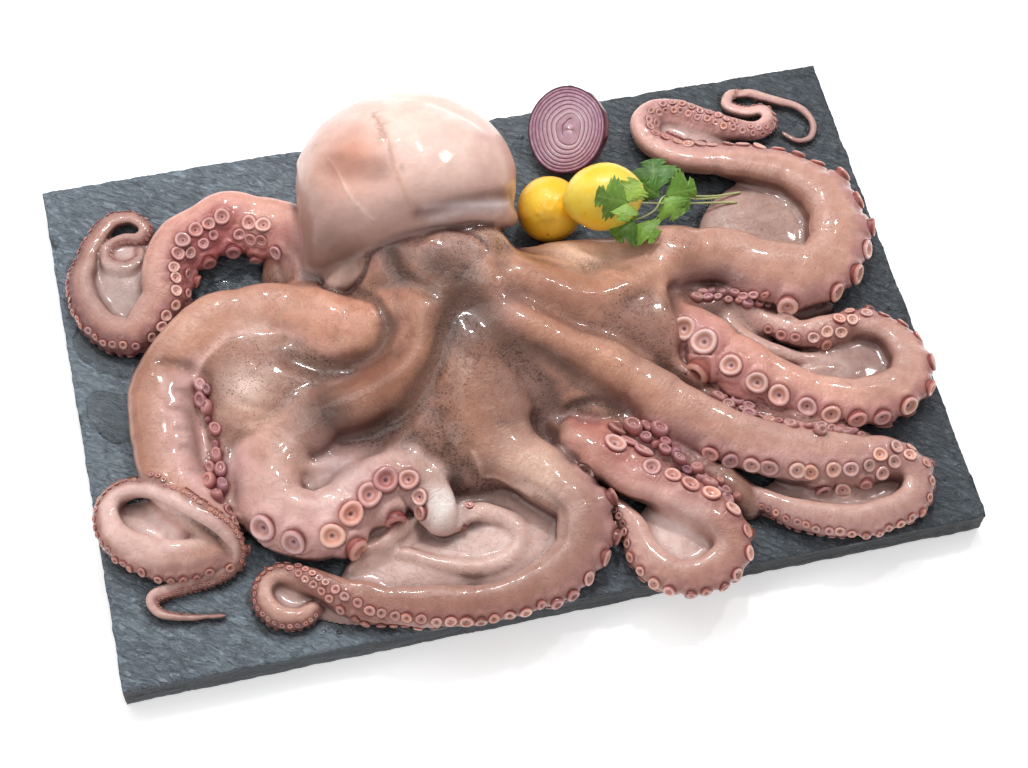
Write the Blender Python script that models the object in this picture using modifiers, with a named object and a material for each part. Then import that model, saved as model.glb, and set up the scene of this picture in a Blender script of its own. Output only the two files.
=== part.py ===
"""A whole raw octopus lying on a slate board, with two lemons and half a red onion.

Units are metres and +Z is up. The origin is the middle of the board's underside, +X runs along
the board's long side and +Y points to its back edge, where the octopus's mantle lies.
"""

import math

import bmesh
import bpy
import numpy as np
from mathutils import Matrix, Vector
from mathutils.bvhtree import BVHTree

# The board
BOARD_LENGTH = 0.600
BOARD_WIDTH = 0.400
BOARD_THICKNESS = 0.023
BOARD_CORNER = 0.003  # how far each corner is knocked off
BOARD_CHIP = 0.0006  # how far the hewn edge wanders
BOARD_BEVEL = 0.0012
BOARD_EDGE_STEP = 0.050
GAP = 0.0003  # between things that touch

# The octopus
FLATNESS = 0.80  # height of an arm's section over its width
VOXEL = 0.0030
SOFTEN_ARMS = 1  # rounds of softening
SOFTEN_BODY = 30
BODY_MIDDLE = (-0.020, 0.000)
BODY_REACH = (0.100, 0.190)  # softened fully out to the first distance, not at all past the second
OCTOPUS_TRIANGLES = 4350
RING_STEP = 0.006
THINNEST_TIP = 0.0034  # half width below which a tip isn't drawn out further
ROUTE_PARTS = 12  # straight pieces between two stops of a route

# The suckers
SUCKER_SHARES = {  # a sucker's radius over its arm's half width
    "back_left": 0.31, "left": 0.31, "front_left": 0.43, "front": 0.33,
    "front_right": 0.40, "right_front": 0.34, "right": 0.43, "back_right": 0.36,
}
SUCKER_PITCH = 2.45  # from one sucker to the next in a row, over its radius
SUCKER_SPREAD = 26.0  # each of the two rows lies this far, in degrees, from the middle of the sucker side
SUCKER_SIDES = 7
SUCKER_TALL = 1.0  # the cup's depth over its radius
SUCKER_STANDS = 0.5  # how far its rim stands off the skin, over its radius
SMALLEST_SUCKER = 0.0057
SUCKER_FIRST = 0.17  # suckers start this far out from the head
LOWEST_SUCKER = 0.0075  # no sucker is set nearer to the slate than this
MOST_TURNED = 100.0  # a sucker turned further from straight up, in degrees, faces the slate
BURIED = 1.35  # skin further from an arm's middle than this, over its half width, covers its suckers

# Each arm runs from the head to its tip. A stop is
# (x, y, height of the middle above the slate, half width, way that the suckers face):
# 0 degrees is up, 90 the arm's left side as it runs, -90 its right side and 180 down.
ARMS = {
    "back_left": [
        (-0.042, 0.048, 0.048, 0.022, 120), (-0.090, 0.073, 0.033, 0.022, 100),
        (-0.135, 0.115, 0.018, 0.021, 70), (-0.170, 0.131, 0.017, 0.021, 48),
        (-0.203, 0.121, 0.017, 0.020, 52), (-0.219, 0.102, 0.015, 0.018, 62),
        (-0.226, 0.080, 0.013, 0.016, 72), (-0.250, 0.057, 0.011, 0.0125, 85),
        (-0.274, 0.071, 0.010, 0.0105, 92), (-0.284, 0.103, 0.008, 0.0085, 95),
        (-0.275, 0.133, 0.007, 0.0070, 95), (-0.257, 0.157, 0.006, 0.0062, 95),
        (-0.240, 0.160, 0.006, 0.0055, 95), (-0.230, 0.149, 0.006, 0.0050, 95),
        (-0.238, 0.139, 0.005, 0.0042, 95), (-0.250, 0.139, 0.005, 0.0038, 90),
        (-0.257, 0.130, 0.004, 0.0035, 90), (-0.251, 0.122, 0.003, 0.0030, 90),
        (-0.243, 0.125, 0.003, 0.0024, 90),
    ],
    "left": [
        (-0.045, 0.034, 0.050, 0.023, 150), (-0.100, 0.039, 0.036, 0.021, 140),
        (-0.143, 0.043, 0.026, 0.020, 130), (-0.178, 0.048, 0.021, 0.021, 115),
        (-0.212, 0.034, 0.019, 0.023, 90), (-0.233, 0.004, 0.019, 0.025, 66),
        (-0.239, -0.034, 0.018, 0.024, 62), (-0.237, -0.068, 0.015, 0.020, 75),
        (-0.224, -0.096, 0.012, 0.017, 90), (-0.219, -0.114, 0.011, 0.015, 100),
        (-0.234, -0.121, 0.012, 0.014, 100), (-0.263, -0.117, 0.011, 0.0125, 92),
        (-0.287, -0.096, 0.010, 0.0100, 88), (-0.292, -0.075, 0.009, 0.0080, 85),
        (-0.283, -0.062, 0.010, 0.0068, 75), (-0.265, -0.063, 0.013, 0.0066, 62),
        (-0.246, -0.077, 0.019, 0.0068, 55), (-0.229, -0.095, 0.023, 0.0068, 55),
        (-0.214, -0.111, 0.018, 0.0062, 60), (-0.211, -0.125, 0.009, 0.0060, 75),
        (-0.223, -0.132, 0.006, 0.0058, 85), (-0.242, -0.135, 0.006, 0.0056, 85),
        (-0.258, -0.137, 0.005, 0.0050, 85), (-0.270, -0.141, 0.005, 0.0044, 85),
        (-0.266, -0.151, 0.004, 0.0034, 80), (-0.249, -0.157, 0.003, 0.0028, 80),
        (-0.225, -0.161, 0.003, 0.0018, 80),
    ],
    "front_left": [
        (-0.048, 0.021, 0.046, 0.023, -170), (-0.086, -0.007, 0.038, 0.021, -160),
        (-0.128, -0.025, 0.031, 0.019, -145), (-0.160, -0.033, 0.024, 0.021, -125),
        (-0.181, -0.050, 0.018, 0.024, -112), (-0.187, -0.077, 0.018, 0.023, -98),
        (-0.180, -0.104, 0.018, 0.021, -78), (-0.161, -0.119, 0.018, 0.020, -72),
        (-0.137, -0.114, 0.018, 0.0205, -68), (-0.114, -0.100, 0.018, 0.0205, -55),
        (-0.092, -0.097, 0.018, 0.018, -55), (-0.077, -0.111, 0.016, 0.015, -85),
        (-0.073, -0.127, 0.013, 0.0125, -130), (-0.063, -0.126, 0.011, 0.0095, -160),
        (-0.045, -0.127, 0.010, 0.0075, 180), (-0.028, -0.137, 0.009, 0.0063, 180),
        (-0.023, -0.152, 0.008, 0.0057, 180), (-0.037, -0.163, 0.007, 0.0054, 180),
        (-0.058, -0.164, 0.006, 0.0052, 180), (-0.080, -0.156, 0.006, 0.0046, 180),
        (-0.098, -0.146, 0.006, 0.0040, 180), (-0.110, -0.140, 0.005, 0.0034, 180),
        (-0.122, -0.143, 0.004, 0.0027, 180), (-0.138, -0.147, 0.003, 0.0020, 180),
    ],
    "front": [
        (-0.038, 0.004, 0.030, 0.026, 175), (-0.028, -0.046, 0.024, 0.027, 160),
        (-0.018, -0.084, 0.021, 0.024, 140), (0.003, -0.110, 0.019, 0.021, 120),
        (0.020, -0.133, 0.018, 0.019, 104), (0.021, -0.158, 0.016, 0.0185, 100),
        (0.006, -0.178, 0.015, 0.0165, 98), (-0.020, -0.190, 0.014, 0.0145, 98),
        (-0.050, -0.194, 0.013, 0.0132, 98), (-0.079, -0.191, 0.012, 0.0128, 98),
        (-0.106, -0.185, 0.012, 0.0122, 95), (-0.133, -0.175, 0.011, 0.0114, 80),
        (-0.153, -0.162, 0.011, 0.0100, 35), (-0.170, -0.149, 0.010, 0.0082, -5),
        (-0.186, -0.141, 0.009, 0.0070, -60), (-0.198, -0.147, 0.008, 0.0065, -90),
        (-0.200, -0.161, 0.008, 0.0064, -95), (-0.191, -0.173, 0.007, 0.0061, -95),
        (-0.177, -0.176, 0.006, 0.0052, -95), (-0.167, -0.170, 0.005, 0.0034, -95),
    ],
    "front_right": [
        (-0.024, 0.003, 0.030, 0.024, 90), (0.001, -0.042, 0.022, 0.022, 80),
        (0.024, -0.076, 0.017, 0.019, 60), (0.042, -0.098, 0.018, 0.019, 42),
        (0.058, -0.117, 0.018, 0.018, 40), (0.079, -0.134, 0.017, 0.017, 42),
        (0.098, -0.151, 0.016, 0.0158, 52), (0.113, -0.169, 0.015, 0.0142, 66),
        (0.117, -0.186, 0.014, 0.0132, 82), (0.107, -0.200, 0.013, 0.0123, 95),
        (0.087, -0.205, 0.012, 0.0112, 98), (0.067, -0.200, 0.012, 0.0108, 98),
        (0.056, -0.185, 0.011, 0.0102, 98), (0.053, -0.169, 0.011, 0.0090, 95),
        (0.051, -0.154, 0.011, 0.0076, 80), (0.043, -0.138, 0.010, 0.0060, 60),
    ],
    "right_front": [
        (-0.014, 0.016, 0.048, 0.024, 180), (0.038, -0.011, 0.038, 0.024, -170),
        (0.074, -0.043, 0.029, 0.022, -150), (0.107, -0.082, 0.023, 0.020, -122),
        (0.133, -0.112, 0.020, 0.019, -100), (0.161, -0.129, 0.019, 0.0187, -86),
        (0.188, -0.140, 0.018, 0.0182, -62), (0.218, -0.146, 0.016, 0.0155, -25),
        (0.243, -0.149, 0.015, 0.0132, 20), (0.257, -0.163, 0.013, 0.0115, 62),
        (0.249, -0.180, 0.012, 0.0108, 88), (0.227, -0.189, 0.012, 0.0105, 97),
        (0.198, -0.187, 0.011, 0.0102, 97), (0.171, -0.176, 0.010, 0.0094, 97),
        (0.152, -0.163, 0.009, 0.0074, 97), (0.140, -0.150, 0.007, 0.0052, 97),
    ],
    "right": [
        (-0.005, 0.023, 0.030, 0.024, -80), (0.051, 0.008, 0.024, 0.023, -60),
        (0.098, -0.006, 0.019, 0.021, -45), (0.130, -0.028, 0.019, 0.021, -42),
        (0.146, -0.050, 0.019, 0.021, -42), (0.166, -0.071, 0.019, 0.0200, -45),
        (0.190, -0.088, 0.018, 0.0178, -55), (0.217, -0.100, 0.017, 0.0160, -70),
        (0.248, -0.105, 0.016, 0.0158, -85), (0.271, -0.096, 0.015, 0.0155, -92),
        (0.282, -0.078, 0.014, 0.0143, -94), (0.280, -0.060, 0.013, 0.0125, -88),
        (0.269, -0.045, 0.013, 0.0112, -62), (0.251, -0.038, 0.012, 0.0108, -10),
        (0.230, -0.041, 0.011, 0.0106, 45), (0.209, -0.038, 0.010, 0.0094, 75),
        (0.191, -0.023, 0.009, 0.0074, 95), (0.176, -0.010, 0.009, 0.0062, 130),
        (0.164, -0.014, 0.010, 0.0060, 180), (0.171, -0.031, 0.010, 0.0060, 180),
        (0.188, -0.046, 0.009, 0.0058, 180), (0.205, -0.054, 0.006, 0.0050, 180),
        (0.221, -0.057, 0.005, 0.0042, 180), (0.234, -0.065, 0.004, 0.0036, 180),
        (0.239, -0.075, 0.004, 0.0028, 180),
    ],
    "back_right": [
        (-0.002, 0.038, 0.046, 0.023, -170), (0.050, 0.039, 0.034, 0.021, -160),
        (0.097, 0.044, 0.026, 0.0195, -140), (0.143, 0.041, 0.021, 0.020, -125),
        (0.173, 0.028, 0.019, 0.022, -110), (0.201, 0.008, 0.019, 0.023, -104),
        (0.233, 0.002, 0.018, 0.022, -102), (0.257, 0.020, 0.017, 0.0215, -100),
        (0.267, 0.050, 0.016, 0.0208, -98), (0.261, 0.079, 0.015, 0.0185, -97),
        (0.242, 0.100, 0.014, 0.0155, -96), (0.211, 0.115, 0.014, 0.0140, -85),
        (0.176, 0.125, 0.013, 0.0132, -72), (0.154, 0.142, 0.012, 0.0115, -62),
        (0.149, 0.160, 0.011, 0.0102, -50), (0.160, 0.173, 0.010, 0.0092, -28),
        (0.178, 0.171, 0.010, 0.0088, -12), (0.197, 0.159, 0.010, 0.0086, -8),
        (0.216, 0.147, 0.009, 0.0080, -10), (0.233, 0.142, 0.008, 0.0071, -30),
        (0.246, 0.149, 0.007, 0.0061, -75), (0.245, 0.161, 0.006, 0.0054, -95),
        (0.231, 0.163, 0.005, 0.0052, -100), (0.220, 0.170, 0.005, 0.0046, -120),
        (0.224, 0.180, 0.004, 0.0041, -150), (0.238, 0.180, 0.004, 0.0039, 180),
        (0.254, 0.171, 0.004, 0.0038, 180), (0.273, 0.160, 0.004, 0.0034, 180),
        (0.280, 0.145, 0.003, 0.0030, 180), (0.275, 0.132, 0.003, 0.0027, 180),
        (0.264, 0.130, 0.003, 0.0024, 180), (0.255, 0.139, 0.003, 0.0018, 180),
    ],
}

# Rounded parts of the body: (x, y, height above the slate, half length, half width, half height, turn)
BODY = {
    "mantle": (-0.0440, 0.116, 0.053, 0.0790, 0.071, 0.0545, 0),
    "mantle_skirt": (-0.078, 0.084, 0.036, 0.052, 0.044, 0.040, 50),
    "mantle_flap": (-0.100, 0.064, 0.022, 0.020, 0.024, 0.024, 0),
    "head": (-0.030, 0.044, 0.038, 0.050, 0.036, 0.040, 10),
    "left_eye": (-0.058, 0.040, 0.056, 0.016, 0.014, 0.014, 0),
    "right_eye": (-0.004, 0.052, 0.054, 0.016, 0.014, 0.013, 0),
    "crown": (-0.018, 0.000, 0.010, 0.085, 0.064, 0.048, 0),
    "front_sheet": (-0.040, -0.046, 0.000, 0.066, 0.066, 0.044, 30),
    "front_left_sheet": (-0.098, -0.056, 0.000, 0.060, 0.032, 0.024, 12),
    "left_sheet": (-0.150, 0.004, 0.004, 0.072, 0.050, 0.030, 12),
    "left_sheet_end": (-0.192, 0.006, 0.000, 0.034, 0.044, 0.028, 0),
    "right_sheet": (0.086, -0.004, 0.000, 0.066, 0.046, 0.043, -28),
    "front_right_sheet": (0.030, -0.042, 0.000, 0.060, 0.036, 0.038, -35),
    "rim_by_lemons": (0.060, 0.048, 0.016, 0.046, 0.020, 0.020, -3),
}

# Skin stretched flat over the slate inside the arms' bends: (x, y, half length, half width, height, turn)
WEBS = {
    "in_back_left": (-0.252, 0.103, 0.024, 0.038, 0.006, -8),
    "in_left": (-0.258, -0.090, 0.024, 0.018, 0.007, -35),
    "in_front_left": (-0.130, -0.078, 0.046, 0.030, 0.011, 20),
    "in_front": (-0.030, -0.148, 0.050, 0.040, 0.007, 0),
    "under_front": (-0.100, -0.158, 0.056, 0.022, 0.006, 10),
    "under_front_left": (-0.055, -0.120, 0.040, 0.026, 0.006, -20),
    "in_front_right": (0.085, -0.172, 0.028, 0.026, 0.007, -35),
    "in_front_tip": (-0.183, -0.158, 0.013, 0.011, 0.005, 30),
    "in_right_front": (0.200, -0.165, 0.048, 0.014, 0.006, -5),
    "in_right": (0.245, -0.072, 0.032, 0.026, 0.007, 0),
    "in_back_right": (0.212, 0.062, 0.050, 0.040, 0.009, 20),
    "in_back_right_tip": (0.182, 0.150, 0.026, 0.013, 0.006, -20),
    "under_right": (0.150, -0.010, 0.050, 0.034, 0.009, -30),
}

# The garnish. Each piece is let down from its start until it touches what is below it.
LEMON_RADIUS = 0.0240
LEMON_NIPPLE = 0.0032  # how far a lemon's ends stand out past its round body
LEMON_RINGS = 10
LEMON_STEPS = 14
NEAR_LEMON = {"start": (0.0580, 0.0935, 0.060), "half_length": 0.0275, "axis": (-0.30, -0.62, 0.72)}
HIGH_LEMON = {"start": (0.0900, 0.0745, 0.105), "half_length": 0.0295, "axis": (-0.95, 0.10, -0.14)}
ONION_RADIUS = 0.0325
ONION_DEPTH = 0.029  # from the cut face to the back
ONION_START = (0.0860, 0.1565, 0.080)
ONION_FACES = (-0.62, -0.28, 0.73)
ONION_STEPS = 20
ONION_RINGS = 7
LETTING_DOWN = 0.0002  # one step

def clear_scene():
    for obj in list(bpy.data.objects):
        bpy.data.objects.remove(obj, do_unlink=True)


def collection_named(name):
    made = bpy.data.collections.new(name)
    bpy.context.scene.collection.children.link(made)
    return made


def finish_of(name, colour, roughness):
    """A Principled material of that linear colour."""
    material = bpy.data.materials.new(name)
    material.use_nodes = True
    shader = material.node_tree.nodes["Principled BSDF"]
    shader.inputs["Base Color"].default_value = (*colour, 1.0)
    shader.inputs["Roughness"].default_value = roughness
    shader.inputs["Metallic"].default_value = 0.0
    return material


def put(obj, collection, material):
    """Moves an object to its collection and gives it its material."""
    for owner in list(obj.users_collection):
        owner.objects.unlink(obj)
    collection.objects.link(obj)
    obj.data.materials.clear()
    obj.data.materials.append(material)
    return obj


def smooth_route(stops, step):
    """Rows about step apart on the Catmull-Rom curve through the stops, every column blended alike."""
    stops = np.array(stops, float)
    ends = np.vstack([2 * stops[0] - stops[1], stops, 2 * stops[-1] - stops[-2]])
    t = np.linspace(0, 1, ROUTE_PARTS, endpoint=False)[:, None]
    rows = [
        0.5 * (2 * b + (c - a) * t + (2 * a - 5 * b + 4 * c - d) * t**2 + (3 * b - a - 3 * c + d) * t**3)
        for a, b, c, d in zip(ends, ends[1:], ends[2:], ends[3:])
    ]
    rows = np.vstack([*rows, stops[-1:]])
    run = np.r_[0, np.cumsum(np.linalg.norm(np.diff(rows[:, :3], axis=0), axis=1))]
    at = np.linspace(0, run[-1], max(2, round(run[-1] / step)))
    return np.column_stack([np.interp(at, run, column) for column in rows.T])


def arm_tube(name, stops, collection):
    """A tapering tube along an arm's route, as high as FLATNESS times its width."""
    curve = bpy.data.curves.new(name, "CURVE")
    curve.dimensions = "3D"
    curve.bevel_depth = 1.0
    curve.bevel_resolution = 3
    curve.use_fill_caps = True
    rows = smooth_route(stops, RING_STEP)
    spline = curve.splines.new("POLY")
    spline.points.add(len(rows) - 1)
    for point, (x, y, height, half_width, _) in zip(spline.points, rows):
        point.co = (x, y, height / FLATNESS, 1.0)
        point.radius = max(half_width, THINNEST_TIP)
    tube = bpy.data.objects.new(name, curve)
    tube.location.z = BOARD_THICKNESS
    tube.scale.z = FLATNESS
    collection.objects.link(tube)
    return tube


def lump(name, centre, half_sizes, turn, collection):
    """A ball stretched to three half sizes, turned about the vertical in degrees."""
    bpy.ops.mesh.primitive_uv_sphere_add(segments=32, ring_count=16, radius=1.0, location=centre)
    ball = bpy.context.object
    ball.name = name
    ball.scale = half_sizes
    ball.rotation_euler.z = math.radians(turn)
    for owner in list(ball.users_collection):
        owner.objects.unlink(ball)
    collection.objects.link(ball)
    return ball


def joined(name, pieces, collection):
    """One mesh object from several closed pieces, which are removed. Their places go into the mesh."""
    bpy.context.view_layer.update()
    graph = bpy.context.evaluated_depsgraph_get()
    whole = bmesh.new()
    for piece in pieces:
        mesh = bpy.data.meshes.new_from_object(piece.evaluated_get(graph))
        mesh.transform(piece.matrix_world)
        whole.from_mesh(mesh)
        bpy.data.meshes.remove(mesh)
    for piece in pieces:
        bpy.data.objects.remove(piece, do_unlink=True)
    bmesh.ops.remove_doubles(whole, verts=whole.verts, dist=1e-6)
    mesh = bpy.data.meshes.new(name)
    whole.to_mesh(mesh)
    whole.free()
    obj = bpy.data.objects.new(name, mesh)
    collection.objects.link(obj)
    return obj


def skin_tree(mesh):
    """A search tree of a mesh's faces."""
    return BVHTree.FromPolygons([v.co for v in mesh.vertices], [p.vertices for p in mesh.polygons])


def sucker_places(stops, share, tree):
    """(foot on the skin, outward direction, radius) of each sucker on an arm that is large and shows."""
    rows = smooth_route(stops, 0.001)
    run = np.linspace(0, 1, len(rows))
    length = len(rows) * 0.001
    along = np.gradient(rows[:, :3], axis=0)
    places = []
    for side in (-1, 1):
        at = SUCKER_FIRST + (0.009 / length if side > 0 else 0.0)
        while at < 1:
            x, y, height, half_width, facing = (np.interp(at, run, column) for column in rows.T)
            radius = share * half_width
            forward = Vector([np.interp(at, run, column) for column in along.T]).normalized()
            left = Vector((0, 0, 1)).cross(forward).normalized()
            angle = math.radians(facing + side * SUCKER_SPREAD)
            across, up = math.sin(angle), math.cos(angle)
            out = (left * across + Vector((0, 0, up))).normalized()
            middle = Vector((x, y, BOARD_THICKNESS + height))
            foot, _, _, reach = tree.ray_cast(middle, out)
            shows = math.degrees(abs(math.atan2(across, up))) < MOST_TURNED
            if foot and shows and radius > SMALLEST_SUCKER and reach < BURIED * half_width:
                if foot.z - BOARD_THICKNESS > LOWEST_SUCKER:
                    places.append((foot, out, radius))
            at += SUCKER_PITCH * radius / length
    return places


def sucker_cup(foot, out, radius):
    """A cup that flares from its foot to its rim, with a sunk floor."""
    cup = bmesh.new()
    tall = SUCKER_TALL * radius
    bmesh.ops.create_cone(
        cup, cap_ends=True, segments=SUCKER_SIDES, radius1=0.78 * radius, radius2=radius, depth=tall
    )
    rim = max(cup.faces, key=lambda face: face.calc_center_median().z)
    bmesh.ops.inset_region(cup, faces=[rim], thickness=0.36 * radius, depth=-0.32 * radius)
    turn = Vector((0, 0, 1)).rotation_difference(out).to_matrix().to_4x4()
    middle = foot + out * (SUCKER_STANDS * radius - tall / 2)
    bmesh.ops.transform(cup, matrix=Matrix.Translation(middle) @ turn, verts=cup.verts)
    mesh = bpy.data.meshes.new("cup")
    cup.to_mesh(mesh)
    cup.free()
    return mesh


def make_suckers(tree, collection):
    """All suckers that show, as one helper mesh. Two that would overlap aren't both made."""
    whole = bmesh.new()
    kept = []
    for arm, stops in ARMS.items():
        for foot, out, radius in sucker_places(stops, SUCKER_SHARES[arm], tree):
            if all((foot - other).length > radius + reach + GAP for other, reach in kept):
                cup = sucker_cup(foot, out, radius)
                whole.from_mesh(cup)
                bpy.data.meshes.remove(cup)
                kept.append((foot, radius))
    mesh = bpy.data.meshes.new("suckers")
    whole.to_mesh(mesh)
    whole.free()
    obj = bpy.data.objects.new("suckers", mesh)
    collection.objects.link(obj)
    obj.hide_render = True
    obj.display_type = "WIRE"
    print("suckers in the solid:", len(kept))
    return obj


def boolean(obj, name, operation, other):
    modifier = obj.modifiers.new(name, "BOOLEAN")
    modifier.operation = operation
    modifier.object = other
    modifier.solver = "EXACT"
    return modifier


def bake(obj):
    """Puts what the modifiers make into the object's own mesh and takes them off."""
    bpy.context.view_layer.update()
    graph = bpy.context.evaluated_depsgraph_get()
    mesh = bpy.data.meshes.new_from_object(obj.evaluated_get(graph))
    obj.modifiers.clear()
    obj.data = mesh


def soften(mesh):
    """Moves each vertex towards the middle of its neighbours, in more rounds near the body."""
    places = np.empty(3 * len(mesh.vertices))
    mesh.vertices.foreach_get("co", places)
    places = places.reshape(-1, 3)
    ends = np.empty(2 * len(mesh.edges), int)
    mesh.edges.foreach_get("vertices", ends)
    one, other = ends.reshape(-1, 2).T
    one, other = np.r_[one, other], np.r_[other, one]
    count = np.bincount(one, minlength=len(places))[:, None]
    away = np.linalg.norm(places[:, :2] - BODY_MIDDLE, axis=1)
    inner, outer = BODY_REACH
    body = np.clip((outer - away) / (outer - inner), 0, 1)[:, None]
    for turn in range(SOFTEN_BODY):
        total = np.column_stack([np.bincount(one, places[other, k], len(places)) for k in range(3)])
        share = 0.5 if turn < SOFTEN_ARMS else 0.5 * body
        places = places + share * (total / count - places)
    mesh.vertices.foreach_set("co", places.ravel())
    mesh.update()


def keep_largest(mesh):
    """Drops every crumb that isn't joined to the largest piece of a mesh."""
    whole = bmesh.new()
    whole.from_mesh(mesh)
    islands = []
    left = set(whole.verts)
    while left:
        island = {left.pop()}
        edge_of = island
        while edge_of:
            edge_of = {e.other_vert(v) for v in edge_of for e in v.link_edges} - island
            island |= edge_of
        left -= island
        islands.append(island)
    islands.sort(key=len)
    for island in islands[:-1]:
        bmesh.ops.delete(whole, geom=list(island), context="VERTS")
    whole.to_mesh(mesh)
    whole.free()


def lay_on_slate(mesh):
    """Flattens whatever would sink into the slate."""
    places = np.empty(3 * len(mesh.vertices))
    mesh.vertices.foreach_get("co", places)
    places[2::3] = np.maximum(places[2::3], BOARD_THICKNESS + GAP)
    mesh.vertices.foreach_set("co", places)
    mesh.update()


def make_octopus(collection, helpers, material):
    """Arms, body and webs grown together into one skin, laid flat on the slate, with its suckers."""
    pieces = [arm_tube(name, stops, helpers) for name, stops in ARMS.items()]
    for name, (x, y, height, length, width, tall, turn) in BODY.items():
        pieces.append(lump(name, (x, y, BOARD_THICKNESS + height), (length, width, tall), turn, helpers))
    for name, (x, y, length, width, tall, turn) in WEBS.items():
        pieces.append(lump(name, (x, y, BOARD_THICKNESS), (length, width, tall), turn, helpers))
    octopus = joined("octopus", pieces, collection)
    remesh = octopus.modifiers.new("one skin", "REMESH")
    remesh.mode = "VOXEL"
    remesh.voxel_size = VOXEL
    bake(octopus)
    soften(octopus.data)
    lay_on_slate(octopus.data)
    octopus.data.calc_loop_triangles()
    fewer = octopus.modifiers.new("fewer faces", "DECIMATE")
    fewer.ratio = OCTOPUS_TRIANGLES / len(octopus.data.loop_triangles)
    bake(octopus)
    keep_largest(octopus.data)
    lay_on_slate(octopus.data)
    boolean(octopus, "suckers", "UNION", make_suckers(skin_tree(octopus.data), helpers))
    return put(octopus, collection, material)


def make_board(collection, material):
    """A slab with a hewn, slightly wandering edge, and its corners knocked off."""
    curve = bpy.data.curves.new("outline", "CURVE")
    curve.dimensions = "2D"
    curve.fill_mode = "BOTH"
    curve.extrude = BOARD_THICKNESS / 2 - BOARD_BEVEL
    curve.bevel_depth = BOARD_BEVEL
    curve.bevel_resolution = 0
    half = Vector((BOARD_LENGTH / 2 - BOARD_BEVEL, BOARD_WIDTH / 2 - BOARD_BEVEL))
    outline = []
    for turn, reach in enumerate((half.x, half.y, half.x, half.y)):
        side_half = half.y if turn % 2 == 0 else half.x
        count = round(2 * side_half / BOARD_EDGE_STEP) + 1
        facing = Matrix.Rotation(turn * math.pi / 2, 2)
        for run in np.linspace(-side_half + BOARD_CORNER, side_half - BOARD_CORNER, count):
            chip = BOARD_CHIP * (math.sin(190 * run + turn) * math.sin(83 * run + 2 * turn) - 1)
            outline.append(facing @ Vector((reach + chip, run)))
    spline = curve.splines.new("POLY")
    spline.points.add(len(outline) - 1)
    for point, place in zip(spline.points, outline):
        point.co = (place.x, place.y, 0, 1)
    spline.use_cyclic_u = True
    slab = bpy.data.objects.new("outline", curve)
    slab.location.z = BOARD_THICKNESS / 2
    collection.objects.link(slab)
    return put(joined("slate_board", [slab], collection), collection, material)


def turned(name, profile, steps, collection, material):
    """A closed solid turned about Z from a profile that runs down its outer side, at +X."""
    mesh = bpy.data.meshes.new(name)
    mesh.from_pydata([(r, 0, z) for r, z in profile], [(i, i + 1) for i in range(len(profile) - 1)], [])
    obj = bpy.data.objects.new(name, mesh)
    collection.objects.link(obj)
    screw = obj.modifiers.new("turn", "SCREW")
    screw.steps = steps
    screw.render_steps = steps
    screw.use_merge_vertices = True
    screw.merge_threshold = 0.00005
    return put(obj, collection, material)


def world_tree(obj):
    """A search tree of an object's finished shape where it stands."""
    bpy.context.view_layer.update()
    graph = bpy.context.evaluated_depsgraph_get()
    mesh = bpy.data.meshes.new_from_object(obj.evaluated_get(graph))
    mesh.transform(obj.matrix_world)
    tree = skin_tree(mesh)
    bpy.data.meshes.remove(mesh)
    return tree


def let_down(obj, below):
    """Lowers an object until it would touch one of those below it, then lifts it by the gap."""
    trees = [world_tree(other) for other in below]
    while not any(tree.overlap(world_tree(obj)) for tree in trees) and obj.location.z > 0:
        obj.location.z -= LETTING_DOWN
    obj.location.z += LETTING_DOWN + GAP


def make_lemon(name, spec, collection, material):
    """A round body whose ends draw out into blunt nipples."""
    body = spec["half_length"] - LEMON_NIPPLE
    profile = []
    for t in np.linspace(0, math.pi, LEMON_RINGS + 1):
        nipple = LEMON_NIPPLE * abs(math.cos(t)) ** 9
        z = body * math.cos(t) + math.copysign(nipple, math.cos(t))
        profile.append((LEMON_RADIUS * math.sin(t) ** 0.92 if 0 < t < math.pi else 0.0, z))
    lemon = turned(name, profile, LEMON_STEPS, collection, material)
    lemon.location = spec["start"]
    lemon.rotation_euler = Vector((0, 0, 1)).rotation_difference(Vector(spec["axis"])).to_euler()
    return lemon


def make_onion(collection, material):
    """Half an onion: a flat cut face and a round back."""
    profile = [(0.0, 0.0)]
    for t in np.linspace(math.pi / 2, 0, ONION_RINGS):
        profile.append((math.sin(t), -math.cos(t)))
    onion = turned("onion_half", profile, ONION_STEPS, collection, material)
    onion.scale = (ONION_RADIUS, ONION_RADIUS, ONION_DEPTH)
    onion.location = ONION_START
    onion.rotation_euler = Vector((0, 0, 1)).rotation_difference(Vector(ONION_FACES)).to_euler()
    return onion


def main():
    clear_scene()
    things = collection_named("octopus_on_slate")
    helpers = collection_named("helpers")
    helpers.hide_render = True
    skin = finish_of("octopus_skin", (0.56, 0.31, 0.24), 0.28)
    slate = finish_of("slate", (0.085, 0.095, 0.105), 0.62)
    lemon_peel = finish_of("lemon_peel", (0.89, 0.56, 0.03), 0.38)
    red_onion = finish_of("red_onion", (0.30, 0.10, 0.14), 0.40)
    board = make_board(things, slate)
    octopus = make_octopus(things, helpers, skin)
    near = make_lemon("lemon_near", NEAR_LEMON, things, lemon_peel)
    let_down(near, [board, octopus])
    onion = make_onion(things, red_onion)
    let_down(onion, [board, octopus])
    high = make_lemon("lemon_high", HIGH_LEMON, things, lemon_peel)
    let_down(high, [near, octopus, onion, board])


main()
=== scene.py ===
import math
import time

import bpy
import numpy as np
from mathutils import Matrix, Vector


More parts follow.
